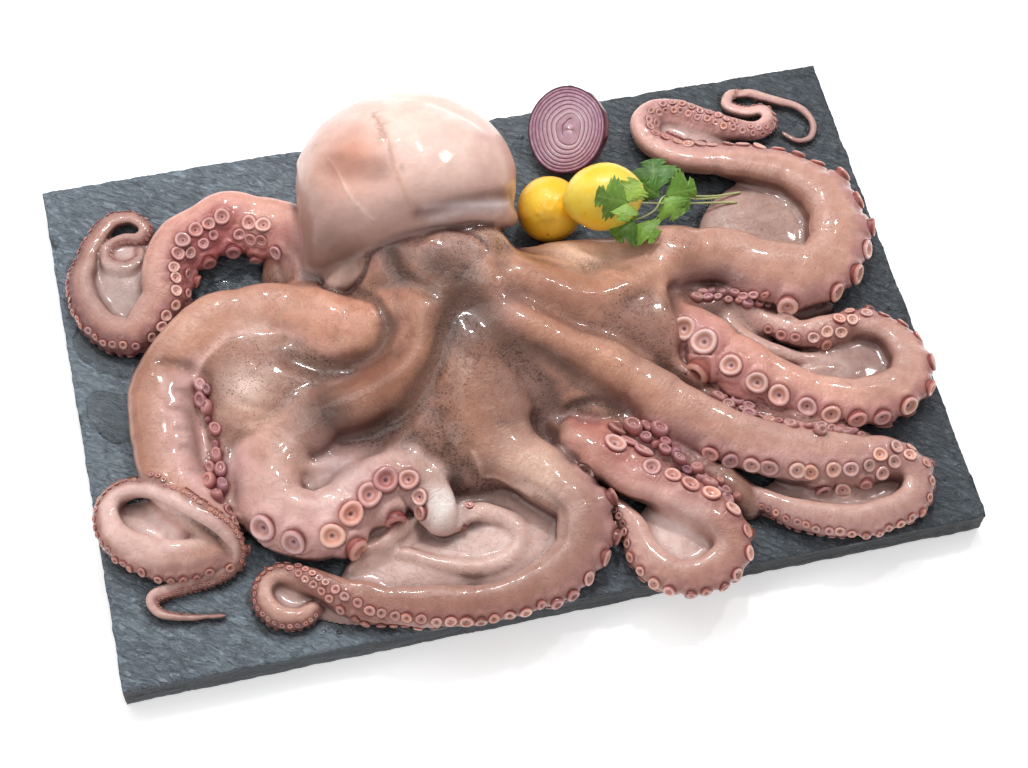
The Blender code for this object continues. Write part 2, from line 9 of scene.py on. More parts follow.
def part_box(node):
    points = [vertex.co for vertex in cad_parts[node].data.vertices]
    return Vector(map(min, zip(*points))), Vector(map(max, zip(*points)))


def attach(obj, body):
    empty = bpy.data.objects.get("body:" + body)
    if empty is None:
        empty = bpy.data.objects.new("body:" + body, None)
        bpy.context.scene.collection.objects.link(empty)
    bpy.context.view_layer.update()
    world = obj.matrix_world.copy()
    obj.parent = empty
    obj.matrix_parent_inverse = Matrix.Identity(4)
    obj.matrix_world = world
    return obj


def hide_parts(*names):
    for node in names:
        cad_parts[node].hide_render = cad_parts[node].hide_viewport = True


# A whole raw octopus on a slate board, with two lemons, half a red onion and parsley.
# Lengths are metres. Heights in the tables of the octopus, water and parsley are above the slate's top.
# The tables that go through inMetres are written in millimetres.

started = time.time()
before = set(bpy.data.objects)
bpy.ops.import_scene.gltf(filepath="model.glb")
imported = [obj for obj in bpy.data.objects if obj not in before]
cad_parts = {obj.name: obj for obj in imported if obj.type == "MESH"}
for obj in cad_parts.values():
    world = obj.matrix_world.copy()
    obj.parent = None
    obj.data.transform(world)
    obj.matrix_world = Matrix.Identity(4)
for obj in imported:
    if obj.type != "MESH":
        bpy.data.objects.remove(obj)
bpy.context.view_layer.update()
boardLow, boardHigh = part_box("slate_board")
slateTop = boardHigh.z


def say(stage):
    print(f"[{time.time() - started:5.1f} s] {stage}")


def srgb(red, green, blue):
    # the linear colour of a screen colour given from 0 to 255
    value = np.array([red, green, blue]) / 255.0
    return np.where(value <= 0.04045, value / 12.92, ((value + 0.055) / 1.055) ** 2.4)


def inMetres(row, keep=0):
    # a row of millimetres, and the rows inside it, in metres; its last keep entries stay as they are
    count = len(row) - keep
    scaled = [inMetres(v) if isinstance(v, (list, tuple)) else v / 1000 for v in row[:count]]
    return scaled + list(row[count:])


def allInMetres(table, keep=0):
    return {name: inMetres(row, keep) for name, row in table.items()}


def softStep(value, low, high):
    # 0 below low, 1 above high, and a smooth S between
    t = np.clip((value - low) / (high - low), 0, 1)
    return t * t * (3 - 2 * t)


# camera

cameraValues = {
    "place": (-0.2318, -0.7043, 1.2968),
    "looksAlong": (0.1604, 0.4621, -0.8722),
    "topOfView": (0.1813, 0.8548, 0.4862),
    "lens": 72.35,
}


def makeCamera(values):
    data = bpy.data.cameras.new("camera")
    data.lens = values["lens"]
    data.sensor_width = 36
    camera = bpy.data.objects.new("camera", data)
    bpy.context.scene.collection.objects.link(camera)
    back = -Vector(values["looksAlong"]).normalized()
    right = Vector(values["topOfView"]).cross(back).normalized()
    top = back.cross(right)
    turned = Matrix((right, top, back)).transposed().to_4x4()
    camera.matrix_world = Matrix.Translation(values["place"]) @ turned
    bpy.context.scene.camera = camera


# light and floor

lightValues = {
    "world": ((1.0, 1.0, 1.0), 0.39),
    "softboxes": {  # place, aimed at, width, height, watts
        "overhead": ((-0.50, 0.95, 1.75), (0.0, 0.0, 0.0), 2.2, 1.6, 16.5),
        "leftFill": ((-1.4, -0.6, 1.2), (0.0, 0.0, 0.0), 0.9, 0.9, 3.5),
        "sparkle": ((0.30, 0.86, 1.60), (0.0, 0.0, 0.0), 0.19, 0.15, 8.5),
        "sparkleFar": ((-0.10, 1.15, 1.50), (0.0, 0.0, 0.0), 0.12, 0.12, 4.0),
        "sparkleRight": ((0.95, 0.60, 1.45), (0.2, 0.0, 0.0), 0.10, 0.14, 4.0),
    },
    "floorColour": srgb(253, 253, 253),
    "floorGlow": 0.43,
}


def makeLights(values):
    world = bpy.data.worlds.new("paleRoom")
    world.use_nodes = True
    colour, strength = values["world"]
    world.node_tree.nodes["Background"].inputs["Color"].default_value = (*colour, 1)
    world.node_tree.nodes["Background"].inputs["Strength"].default_value = strength
    bpy.context.scene.world = world
    for name, (place, aim, width, height, watts) in values["softboxes"].items():
        data = bpy.data.lights.new(name, "AREA")
        data.shape = "RECTANGLE"
        data.size, data.size_y = width, height
        data.energy = watts
        lamp = bpy.data.objects.new(name, data)
        lamp.location = place
        lamp.rotation_euler = (Vector(aim) - Vector(place)).to_track_quat("-Z", "Y").to_euler()
        bpy.context.scene.collection.objects.link(lamp)
    bpy.context.scene.view_settings.view_transform = "Standard"


# meshes and noise

def meshPiece(name, points, faces, material, slot=None):
    # a smooth-shaded object at the origin, riding on the root body
    mesh = bpy.data.meshes.new(name)
    mesh.from_pydata(np.asarray(points, float).tolist(), [], [list(map(int, f)) for f in faces])
    mesh.shade_smooth()
    piece = bpy.data.objects.new(name, mesh)
    bpy.context.scene.collection.objects.link(piece)
    if material:
        mesh.materials.append(material)
    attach(piece, "root")
    return piece


def setNumber(mesh, name, values):
    layer = mesh.attributes.new(name, "FLOAT", "POINT")
    layer.data.foreach_set("value", np.asarray(values, np.float32).ravel())


def setColour(mesh, name, colours):
    layer = mesh.attributes.new(name, "FLOAT_COLOR", "POINT")
    rgba = np.ones((len(colours), 4), np.float32)
    rgba[:, :3] = colours
    layer.data.foreach_set("color", rgba.ravel())


def pointsOf(mesh):
    places = np.empty(3 * len(mesh.vertices), np.float32)
    mesh.vertices.foreach_get("co", places)
    return places.reshape(-1, 3).astype(float)


def normalsOf(mesh):
    away = np.empty(3 * len(mesh.vertices), np.float32)
    mesh.vertices.foreach_get("normal", away)
    return away.reshape(-1, 3).astype(float)


def outward(points, faces):
    # faces turned over if the closed shape has a negative volume
    corner = [np.array([points[f[k]] for f in faces]) for k in (0, 1, 2)]
    last = np.array([points[f[-1]] for f in faces])
    volume = np.einsum("ij,ij->", corner[0], np.cross(corner[1], corner[2]))
    volume += np.einsum("ij,ij->", corner[0], np.cross(corner[2], last))
    return faces if volume > 0 else [f[::-1] for f in faces]


def tubeFaces(rings, sides, start=0):
    # quads between rings of points that lie one after the other
    ring, side = np.meshgrid(np.arange(rings - 1), np.arange(sides), indexing="ij")
    after = (side + 1) % sides
    low, high = ring * sides, (ring + 1) * sides
    quads = np.stack([low + side, low + after, high + after, high + side], -1)
    return (start + quads.reshape(-1, 4)).tolist()


def closedTube(rings):
    # (rings, sides, 3) points, closed at each end by a point in the middle of the end ring
    count, sides = rings.shape[:2]
    points = np.vstack([rings.reshape(-1, 3), rings[0].mean(0), rings[-1].mean(0)])
    first, last = len(points) - 2, len(points) - 1
    faces = tubeFaces(count, sides)
    faces += [[first, (k + 1) % sides, k] for k in range(sides)]
    faces += [[last, (count - 1) * sides + k, (count - 1) * sides + (k + 1) % sides] for k in range(sides)]
    return points, outward(points, faces)


def joined(shapes):
    # many (points, faces) shapes as one
    points, faces, count = [], [], 0
    for some, its in shapes:
        points.append(some)
        faces += [[k + count for k in face] for face in its]
        count += len(some)
    return np.vstack(points), faces


def valueNoise(axes, cell, seed):
    # random values on a lattice, blended smoothly between its points, from -1 to 1, one axis at a time
    sizes = [int((axis[-1] - axis[0]) / cell) + 3 for axis in axes]
    values = np.random.default_rng(seed).uniform(-1, 1, sizes).astype(np.float32)
    for k, axis in enumerate(axes):
        t = (axis - axis[0]) / cell
        low = t.astype(int)
        share = softStep(t - low, 0, 1).astype(np.float32)
        share = share.reshape([-1 if j == k else 1 for j in range(len(axes))])
        values = np.take(values, low, axis=k) * (1 - share) + np.take(values, low + 1, axis=k) * share
    return values


def noiseAt(points, cell, seed):
    # the same noise at loose points, in up to three dimensions
    t = (points - points.min(0)) / cell
    low = t.astype(int)
    share = softStep(t - low, 0, 1)
    values = np.random.default_rng(seed).uniform(-1, 1, low.max(0) + 2)
    total = np.zeros(len(points))
    for corner in np.ndindex(*(2,) * points.shape[1]):
        weight = np.prod(np.where(corner, share, 1 - share), axis=1)
        total += weight * values[tuple((low + corner).T)]
    return total


# the octopus as one field: below zero inside its skin, about the distance to it outside

# Each arm runs from the head to its tip. A stop is (x, y, height of the middle, half width,
# way that the suckers face). 0 degrees is up, 180 down, 90 the arm's left side as it runs, -90 its right.
arms = {
    "back_left": [
        (-42, 48, 48, 22, 120), (-90, 73, 33, 22, 100), (-135, 115, 18, 21, 70), (-170, 131, 17, 21, 48),
        (-203, 121, 17, 20, 52), (-219, 102, 15, 18, 62), (-226, 80, 13, 16, 76), (-250, 57, 11, 12.5, 94),
        (-274, 71, 10, 10.5, 106), (-284, 103, 8, 8.5, 108), (-275, 133, 7, 7, 106), (-257, 157, 6, 6.2, 102),
        (-240, 160, 6, 5.5, 95), (-230, 149, 6, 5, 95), (-236, 140, 6, 4.5, 95), (-248, 142, 6, 4.2, 90),
        (-259, 137, 6, 4, 90), (-260, 125, 6, 3.8, 90), (-249, 119, 6, 3.4, 90), (-239, 124, 6, 3, 90),
        (-238, 131, 5, 2.2, 90),
    ],
    "left": [
        (-45, 18, 40, 24, 150), (-83, 11, 31, 23, 150), (-105, 17, 27, 22, 140), (-125, 34, 24, 21, 130),
        (-149, 47, 19, 21, 125), (-180, 49, 17, 22, 115), (-212, 34, 14, 24, 96), (-233, 4, 12, 26, 62),
        (-239, -34, 12, 26, 58), (-237, -68, 12, 21, 66), (-224, -96, 12, 17, 95), (-219, -114, 11, 15, 110),
        (-234, -121, 12, 14, 112), (-263, -117, 11, 12.5, 110), (-287, -96, 10, 10, 104),
        (-292, -75, 9, 8, 96), (-283, -62, 11, 7.4, 75), (-265, -63, 17, 7.6, 62), (-246, -77, 25, 7.8, 55),
        (-229, -95, 30, 7.6, 55), (-214, -111, 24, 7, 60), (-211, -125, 12, 6.4, 75),
        (-223, -132, 6, 5.8, 85), (-242, -135, 6, 5.6, 85), (-258, -137, 5, 5, 85), (-270, -141, 5, 4.4, 85),
        (-266, -151, 4, 3.4, 80), (-249, -157, 3, 2.8, 80), (-225, -161, 3, 1.8, 80),
    ],
    "front_left": [
        (-44, 18, 40, 23, -170), (-67, -20, 31, 21, -160), (-106, -36, 25, 20, -150),
        (-136, -38, 18, 21, -140), (-160, -45, 14, 22, -125), (-179, -60, 13, 24, -110),
        (-187, -80, 14, 24, -100), (-179, -105, 15, 22, -89), (-160, -119, 15, 21.5, -80),
        (-137, -114, 16, 21, -67), (-114, -100, 17, 20.5, -54), (-92, -97, 18, 18, -52),
        (-77, -111, 16, 15, -85), (-73, -127, 13, 12.5, -130), (-63, -126, 11, 9.5, -160),
        (-45, -127, 10, 7.5, 180), (-28, -137, 9, 6.3, 180), (-23, -152, 8, 5.7, 180),
        (-37, -163, 7, 5.4, 180), (-58, -164, 6, 5.2, 180), (-80, -156, 6, 4.6, 180), (-98, -146, 6, 4, 180),
        (-110, -140, 5, 3.4, 180), (-122, -143, 4, 2.7, 180), (-138, -147, 3, 2, 180),
    ],
    "front": [
        (-38, 4, 30, 26, 175), (-28, -46, 24, 27, 160), (-18, -84, 21, 24, 140), (3, -110, 19, 21, 120),
        (20, -133, 18, 19, 112), (21, -158, 16, 18.5, 112), (6, -178, 15, 16.5, 112),
        (-20, -190, 14, 14.5, 110), (-50, -194, 13, 13.2, 108), (-79, -191, 12, 12.8, 106),
        (-106, -185, 12, 12.2, 95), (-133, -175, 11, 11.4, 80), (-153, -162, 11, 10, 35),
        (-170, -149, 10, 8.2, -5), (-186, -141, 9, 7, -60), (-198, -147, 8, 6.5, -90),
        (-200, -161, 8, 6.4, -95), (-191, -173, 7, 6.1, -95), (-177, -176, 6, 5.2, -95),
        (-167, -170, 5, 3.4, -95),
    ],
    "front_right": [
        (-10, -6, 16, 18, 90), (12, -44, 10, 17, 75), (28, -74, 12, 18, 60), (43, -98, 18, 19, 42),
        (58, -117, 18, 18, 40), (79, -134, 17, 17, 42), (98, -151, 16, 15.8, 52), (113, -169, 15, 14.2, 66),
        (117, -186, 14, 13.2, 96), (107, -200, 13, 12.3, 110), (87, -205, 12, 11.2, 112),
        (67, -200, 12, 10.8, 112), (56, -185, 11, 10.2, 108), (53, -169, 11, 9, 104), (51, -154, 11, 7.6, 80),
        (43, -138, 10, 6, 60),
    ],
    "right_front": [
        (-14, 10, 40, 24, 180), (22, -17, 36, 24, -170), (63, -44, 28, 22, -150), (101, -86, 22, 20, -122),
        (133, -112, 20, 19, -112), (161, -129, 19, 18.7, -102), (188, -140, 18, 18.2, -90),
        (218, -146, 16, 15.5, -72), (243, -149, 15, 13.2, -10), (257, -163, 13, 11.5, 76),
        (249, -180, 12, 10.8, 104), (227, -189, 12, 10.5, 110), (198, -187, 11, 10.2, 110),
        (171, -176, 10, 9.4, 104), (152, -163, 9, 7.4, 97), (140, -150, 7, 5.2, 97),
    ],
    "right": [
        (-5, 15, 26, 20, -80), (51, 2, 16, 19, -60), (98, -8, 13, 18, -45), (128, -27, 18, 21, -42),
        (146, -50, 19, 21, -52), (166, -71, 19, 20, -66), (190, -88, 18, 17.8, -80), (217, -100, 17, 16, -92),
        (248, -105, 16, 15.8, -102), (271, -96, 15, 15.5, -106), (282, -78, 14, 14.3, -110),
        (280, -60, 13, 12.5, -106), (269, -45, 13, 11.2, -90), (251, -38, 12, 10.8, -30),
        (230, -41, 11, 10.6, 45), (209, -38, 10, 9.4, 75), (191, -23, 9, 7.4, 95), (176, -10, 9, 6.2, 130),
        (164, -14, 10, 6, 180), (171, -31, 10, 6, 180), (188, -46, 9, 5.8, 180), (205, -54, 6, 5, 180),
        (221, -57, 5, 4.2, 180), (234, -65, 4, 3.6, 180), (239, -75, 4, 2.8, 180),
    ],
    "back_right": [
        (-2, 30, 42, 23, -170), (34, 17, 36, 22, -160), (64, 5, 30, 21, -150), (100, 14, 25, 20, -140),
        (138, 32, 22, 20, -128), (173, 28, 19, 22, -124), (201, 8, 19, 23, -120), (233, 2, 18, 22, -116),
        (257, 20, 17, 21.5, -112), (267, 50, 16, 20.8, -110), (261, 79, 15, 18.5, -108),
        (242, 100, 14, 15.5, -104), (211, 115, 14, 14, -92), (176, 125, 13, 13.2, -72),
        (154, 142, 12, 11.5, -62), (149, 160, 11, 10.2, -50), (160, 173, 10, 9.2, -28),
        (178, 171, 10, 8.8, -12), (197, 159, 10, 8.6, -8), (216, 147, 9, 8, -10), (233, 142, 8, 7.1, -30),
        (246, 149, 7, 6.1, -75), (245, 161, 6, 5.4, -95), (231, 163, 5, 5.2, -100), (220, 170, 5, 4.6, -120),
        (224, 180, 4, 4.1, -150), (238, 180, 4, 3.9, 180), (254, 171, 4, 3.8, 180), (273, 160, 4, 3.4, 180),
        (280, 145, 3, 3, 180), (275, 132, 3, 2.7, 180), (264, 130, 3, 2.4, 180), (255, 139, 3, 1.8, 180),
    ],
}
arms = {name: [inMetres(stop, 1) for stop in stops] for name, stops in arms.items()}

# rounded parts: (x, y, height, half length, half width, half height, turn in degrees)
mantleParts = {
    "mantle": (-44, 116, 53, 79, 71, 54.5, 0),
    "skirt": (-78, 84, 36, 52, 44, 40, 50),
}
mantleParts = allInMetres(mantleParts, 1)
flapPart = inMetres((-93.5, 64, 28, 24, 13.5, 19, 30), 1)
hemPlace = 0.0675  # the mantle's wall ends at this y
bodyParts = {
    "head": (-28, 50, 32, 46, 36, 34, 8),
    "leftEye": (-56, 46, 48, 15, 13, 12, 0),
    "rightEye": (-2, 54, 50, 15, 13, 12, 0),
    "behindFlap": (-78, 48, 20, 28, 24, 24, 20),
    "neck": (-40, 76, 30, 56, 30, 30, 0),
    "crown": (-18, 0, 10, 85, 64, 48, 0),
    "frontSheet": (-40, -46, 0, 66, 66, 44, 30),
    "frontLeftSheet": (-98, -56, 0, 60, 32, 24, 12),
    "leftSheet": (-146, 4, 2, 70, 48, 30, 12),
    "underFlap": (-114, 56, 6, 36, 30, 24, 20),
    "backLeftRoot": (-130, 88, 2, 26, 26, 20, 60),
    "leftSheetEnd": (-184, -4, 0, 42, 52, 33.5, 20),
    "rightSheet": (86, -4, 0, 66, 46, 43, -28),
    "frontRightSheet": (30, -42, 0, 60, 36, 38, -35),
    "rimByLemons": (60, 42, 18, 60, 24, 21, -3),
    "backRightSheet": (110, 38, 6, 60, 22, 22, 0),
    "backRightShoulder": (134, 41, 18, 34, 22, 24, -6),
    "sheetCorner": (122, -64, 4, 24, 18, 17, -45),
    "betweenLefts": (-210, -62, 4, 14, 44, 17, 8),
    "betweenFronts": (28, -104, 3, 12, 34, 11, 35),
    "betweenFrontRights": (88, -106, 4, 60, 17, 18, -45),
    "betweenFrontRightTips": (129, -148, 2, 22, 13, 14, -55),
    "betweenRights": (180, -109, 4, 68, 17, 18, -24),
    "underBackRight": (158, 2, 4, 36, 16, 16, -8),
    "betweenBackRights": (196, -20, 2, 50, 12, 10, 6),
}
bodyParts = allInMetres(bodyParts, 1)
# skin stretched flat over the slate inside the bends: (x, y, half length, half width, height, turn)
webs = {
    "inBackLeft": (-253, 103, 32, 46, 7, -8),
    "inLeft": (-257, -92, 32, 24, 8, -35),
    "inFrontLeft": (-132, -80, 46, 30, 20, 10),
    "frill": (-107, -129, 30, 16, 10.5, 26),
    "inFront": (-22, -146, 50, 44, 9, 0),
    "underFront": (-98, -160, 70, 24, 7, 10),
    "underFrontLeft": (-55, -120, 40, 26, 6, -20),
    "inFrontRight": (85, -172, 34, 32, 9, -35),
    "inFrontTip": (-183, -158, 20, 17, 6, 30),
    "inRightFront": (198, -164, 58, 22, 8, -8),
    "inRight": (238, -70, 42, 34, 9, 0),
    "inBackRight": (216, 56, 54, 46, 11, 20),
    "inBackRightTip": (182, 150, 32, 19, 7, -20),
    "underRight": (150, -10, 50, 34, 9, -30),
}
webs = allInMetres(webs, 1)
webBlend = 0.011
webCrisp = inMetres([  # x, y, reach
    (190, -40, 36), (222, -62, 22), (-40, -146, 40), (-90, -152, 40), (-243, 138, 20), (246, 160, 40),
    (-240, -140, 36), (148, -158, 18),
])
# long ridges and valleys of the body, in order: points, half width, height (a valley's is negative)
bodyFolds = {
    "crownValley": ([(-30.4, 8.8, 58), (-45.4, -11.3, 52), (-56.1, -28.6, 44), (-72.5, -42.9, 36),
        (-87.1, -52.9, 28), (-106, -53.2, 20), (-128, -53, 16)], 8, -6.5),
    "leftValley": ([(-76, 13, 46), (-89, -6, 40), (-108.8, -8, 34), (-129.9, -5, 30), (-155.1, 8, 28)],
        7.5, -5),
    "rightFrontValley": ([(-22.3, 10.4, 58), (-7.8, -18.8, 54), (7.7, -44.5, 44), (14.9, -62.1, 30),
        (15, -78, 20)], 9.5, -8.5),
    "rightFrontUnder": ([(12, -30, 50), (42, -56, 40), (72, -86, 30)], 7, -6),
    "rightFrontRidge": ([(5, -8, 58), (31, -28, 52), (63, -50, 44), (90, -78, 36)], 9, 5),
    "backRightRidge": ([(13.7, 33.3, 60), (36.4, 15.7, 54), (60.9, 2.6, 48), (100.6, 12.5, 42),
        (150, 31, 38)], 8.5, 4.2),
    "frontLeftRidge": ([(-51.9, 16.6, 58), (-66.5, -21.5, 48), (-107.2, -36.5, 42), (-139, -38.5, 36)],
        8.5, 4),
    "crownDip": ([(-30, 13, 60), (-22.5, 1, 58), (-24, -14, 56)], 10, -2.8),
    "hollow": ([(9, -70, 28), (11, -80, 24), (15, -90, 20)], 6, -9),
    "sheetOverArm": ([(16, -80, 26), (30, -70, 28), (46, -68, 28), (64, -74, 26)], 3, -3),
    "rightValley": ([(9.3, 11, 58), (45.2, -14, 50), (79.8, -31.7, 42), (104.5, -60, 30)], 7, -5.5),
    "headLeft": ([(-66, 60, 54), (-64, 47.5, 54), (-57.1, 32.5, 56), (-44.5, 15.7, 58)], 6.5, -5),
    "headRight": ([(12, 57.7, 60), (9.2, 42.8, 60), (4, 28, 58)], 6, -3),
    "behindRidge": ([(28, 42, 50), (56, 29, 46), (88, 31, 42)], 5.5, -2),
    "frontRidge": ([(-36, -40, 48), (-40, -58, 42), (-42, -84, 30)], 12, 3.5),
    "sheetEdge": ([(126, 15, 26), (120.5, 0, 24), (119, -20, 22), (123.6, -42, 20), (133, -68, 18)], 4.5, -6),
    "sheetRim": ([(117, 12, 32), (112, -2, 31), (110, -21, 30), (114.6, -44, 28), (124, -69, 24)], 5, 3),
    "frillRidge": ([(-133, -140, 8), (-116, -135, 11), (-100, -129, 12), (-86, -120, 12)], 3, 3.4),
    "frillFurrow": ([(-126, -130, 9), (-110, -125, 11), (-93, -118, 12)], 3, -3.4),
    "frillEdge": ([(-120, -144, 7), (-105, -140, 9), (-90, -131, 10)], 2.6, -2.6),
    "hollowRight": ([(138, 6, 20), (160, 7, 16)], 9, -3),
    "flapCrease": ([(-106, 52, 34), (-95, 44, 38), (-86, 33, 42), (-80, 18, 44), (-80, 6, 42)], 3.5, -4),
    "leftArmCrease": ([(-237.4, 21.9, 30), (-224.3, 17.5, 30), (-212.2, 6.9, 30), (-208.6, -3, 30)], 3, -5),
    "leftCups": ([(-216, 0, 30), (-219, -20, 28), (-218, -42, 26), (-213, -64, 24), (-208, -86, 22)],
        5.5, -8.5),
    "armGroove": ([(-20, -118, 34), (-2, -134, 34), (4, -156, 31), (-12, -173, 29), (-45, -180, 26),
        (-80, -178, 24)], 2.8, -1.6),
    "tailLine": ([(160.2, -16.9, 18), (177.1, -47.5, 18), (202.2, -64.1, 16), (228.2, -66, 13)], 4, 2.2),
    "pinch1": ([(-217.2, -5.3, 28), (-232, -0.3, 30)], 1.7, -2.4),
    "pinch2": ([(-221.8, -17, 28), (-237, -14.5, 30)], 1.7, -2.4),
    "pinch3": ([(-221.2, -29.8, 28), (-237.2, -31, 30)], 1.7, -2.2),
    "pinch4": ([(-222.4, -45.1, 28), (-235.7, -44.9, 28)], 1.7, -2),
    "pinch5": ([(-219, -64, 26), (-231, -60.5, 26)], 1.7, -1.8),
    "fan1": ([(-124, 108, 30), (-118, 90, 34), (-120, 68, 32)], 3, -1.6),
    "fan2": ([(-138, 104, 26), (-133, 86, 28), (-134, 68, 30)], 3, 1.6),
    "fan3": ([(-148, 96, 22), (-145, 82, 24), (-150, 70, 26)], 2.6, -1.4),
    "saddleFold1": ([(-190, 20, 32), (-178, 8, 32), (-174, -8, 30)], 3.2, 1.4),
    "saddleFold2": ([(-198, -10, 32), (-186, -24, 32), (-164, -32, 30)], 3.2, -1.6),
    "saddleFold3": ([(-196, -38, 30), (-180, -42, 30), (-160, -40, 30)], 3, 1.6),
    "headLine": ([(-50, 56, 60), (-36, 64, 63), (-18, 64, 64), (-6, 56, 62), (-1, 44, 60)], 2.6, -1.6),
    "whiteRidge": ([(-158.9, -76.8, 24), (-138.1, -75.1, 24), (-117.4, -74.8, 24)], 6, 2.5),
}
bodyFolds = allInMetres(bodyFolds)
# a roll of skin along the mantle's hem
hemRoll = {
    "points": inMetres([
        (-90, 74, 30), (-78, 72, 40), (-58, 71, 54),
        (-37, 76, 63), (-12, 76, 66), (8, 75, 59), (22, 80, 44), (26, 90, 30),
    ]),
    "halfWidth": 0.0060,
}
skinValues = {
    "gridStep": 0.0016,
    "low": (-0.3055, -0.2205, -0.0040),
    "high": (0.3055, 0.1950, 0.1150),
    "flatness": 0.80,  # height of an arm's section over its width
    "oralFlat": 0.10,  # how far the sucker side is pressed in, over the half width
    "lean": 0.42,  # how far the top of an arm's section leans away from its suckers
    "sampleStep": 0.0014,
    "blendAtCrown": 0.015,
    "blendFarOut": 0.0022,
    "blendReach": (0.065, 0.165),
    "crispSpots": inMetres([  # x, y, reach
        (136, -28, 30), (158, -78, 30), (20, -82, 26), (-214, -50, 16)]),
    "softSpots": inMetres([  # x, y, reach, blend
        (-178, 0, 40, 16), (-150, -30, 36, 16), (-180, 34, 30, 14),
        (-180, -50, 30, 16), (-125, 75, 26, 14)]),
    "openRims": inMetres([  # these stay unshaded
        (60, 50, 38), (85, 50, 38), (110, 50, 38), (-251, -94, 10), (84, -168, 10)]),
    "gap": 0.0003,
    "triangles": 192000,
}
thinnest = 0.0017


def smoothRoute(stops, step, parts=12):
    # rows about step apart on the Catmull-Rom curve through the stops, every column blended alike
    stops = np.array(stops, float)
    ends = np.vstack([2 * stops[0] - stops[1], stops, 2 * stops[-1] - stops[-2]])
    t = np.linspace(0, 1, parts, endpoint=False)[:, None]
    rows = [
        0.5 * (2 * b + (c - a) * t + (2 * a - 5 * b + 4 * c - d) * t**2 + (3 * b - a - 3 * c + d) * t**3)
        for a, b, c, d in zip(ends, ends[1:], ends[2:], ends[3:])
    ]
    rows = np.vstack([*rows, stops[-1:]])
    run = np.r_[0, np.cumsum(np.linalg.norm(np.diff(rows[:, :3], axis=0), axis=1))]
    at = np.linspace(0, run[-1], max(2, round(run[-1] / step)))
    return np.column_stack([np.interp(at, run, column) for column in rows.T])


def armFrames(rows):
    # for each row of a route: forward, out to the middle of the sucker side, and across
    forward = np.gradient(rows[:, :3], axis=0)
    forward /= np.linalg.norm(forward, axis=1)[:, None]
    left = np.cross([0, 0, 1.0], forward)
    left /= np.linalg.norm(left, axis=1)[:, None]
    angle = np.radians(rows[:, 4])[:, None]
    out = left * np.sin(angle) + np.array([0, 0, 1.0]) * np.cos(angle)
    return forward, out, np.cross(forward, out)


gridLow = np.array(skinValues["low"])
gridStep = skinValues["gridStep"]
gridAxes = [
    np.arange(a, b, gridStep, dtype=np.float32) for a, b in zip(skinValues["low"], skinValues["high"])]
gridShape = tuple(len(axis) for axis in gridAxes)


def emptyField():
    return np.full(gridShape, 0.05, np.float32)


def boxAround(place, reach):
    # the part of the grid within reach of a place
    low = np.floor((np.array(place) - reach - gridLow) / gridStep).astype(int)
    high = np.ceil((np.array(place) + reach - gridLow) / gridStep).astype(int) + 1
    return tuple(slice(max(a, 0), max(min(b, n), 0)) for a, b, n in zip(low, high, gridShape))


def offsets(part, place):
    return [
        (gridAxes[k][part[k]] - np.float32(place[k])).reshape([-1 if j == k else 1 for j in range(3)])
        for k in range(3)
    ]


def smoothMin(a, b, reach):
    # the smaller of the two, rounded over where they differ by less than reach
    near = np.maximum(reach - np.abs(a - b), 0) / reach
    return np.minimum(a, b) - near * near * reach * 0.25


def armField(rows, margin):
    # least over the route of: distance with height stretched by 1/flatness, less the half width,
    # which is smaller towards the suckers
    field = emptyField()
    flat = skinValues["flatness"]
    out = armFrames(rows)[1].astype(np.float32)
    for (x, y, height, half, _), (ox, oy, oz), room in zip(rows, out, margin):
        half = max(half, thinnest)
        part = boxAround((x, y, height), np.array([half + room, half + room, (half + room) * flat]))
        dx, dy, dz = offsets(part, (x, y, height))
        dz = dz / np.float32(flat)
        lean = np.float32(skinValues["lean"]) * np.maximum(dz, 0)
        dx = dx + lean * ox
        dy = dy + lean * oy
        distance = np.sqrt(dx * dx + dy * dy + dz * dz)
        towards = np.maximum((dx * ox + dy * oy + dz * oz) / (distance + np.float32(1e-6)), 0)
        pressed = distance - np.float32(half) * (1 - np.float32(skinValues["oralFlat"]) * towards * towards)
        np.minimum(field[part], pressed, out=field[part])
    return field


def addEllipsoid(field, spec, reach, margin):
    # k0 (k0 - 1) / k1, where k0 is the length of the place over the half sizes and k1 over their squares
    x, y, height, length, width, tall, turn = spec
    most = max(length, width) + margin
    part = boxAround((x, y, height), np.array([most, most, tall + margin]))
    dx, dy, dz = offsets(part, (x, y, height))
    c, s = np.float32(math.cos(math.radians(turn))), np.float32(math.sin(math.radians(turn)))
    along, across = dx * c + dy * s, dy * c - dx * s
    k0 = np.sqrt((along / length) ** 2 + (across / width) ** 2 + (dz / tall) ** 2)
    k1 = np.sqrt((along / length**2) ** 2 + (across / width**2) ** 2 + (dz / tall**2) ** 2)
    value = (k0 * (k0 - 1) / (k1 + np.float32(1e-6))).astype(np.float32)
    field[part] = smoothMin(field[part], value, reach)


def addRoll(field, points, halfWidth, reach):
    roll = emptyField()
    rows = smoothRoute([(*p, halfWidth, 0) for p in points], 0.0015)
    for x, y, height, half, _ in rows:
        part = boxAround((x, y, height), half + reach + 0.004)
        dx, dy, dz = offsets(part, (x, y, height))
        value = np.sqrt(dx * dx + dy * dy + dz * dz) - np.float32(half)
        roll[part] = np.minimum(roll[part], value)
    return smoothMin(field, roll, reach)


foldStep = 0.0025


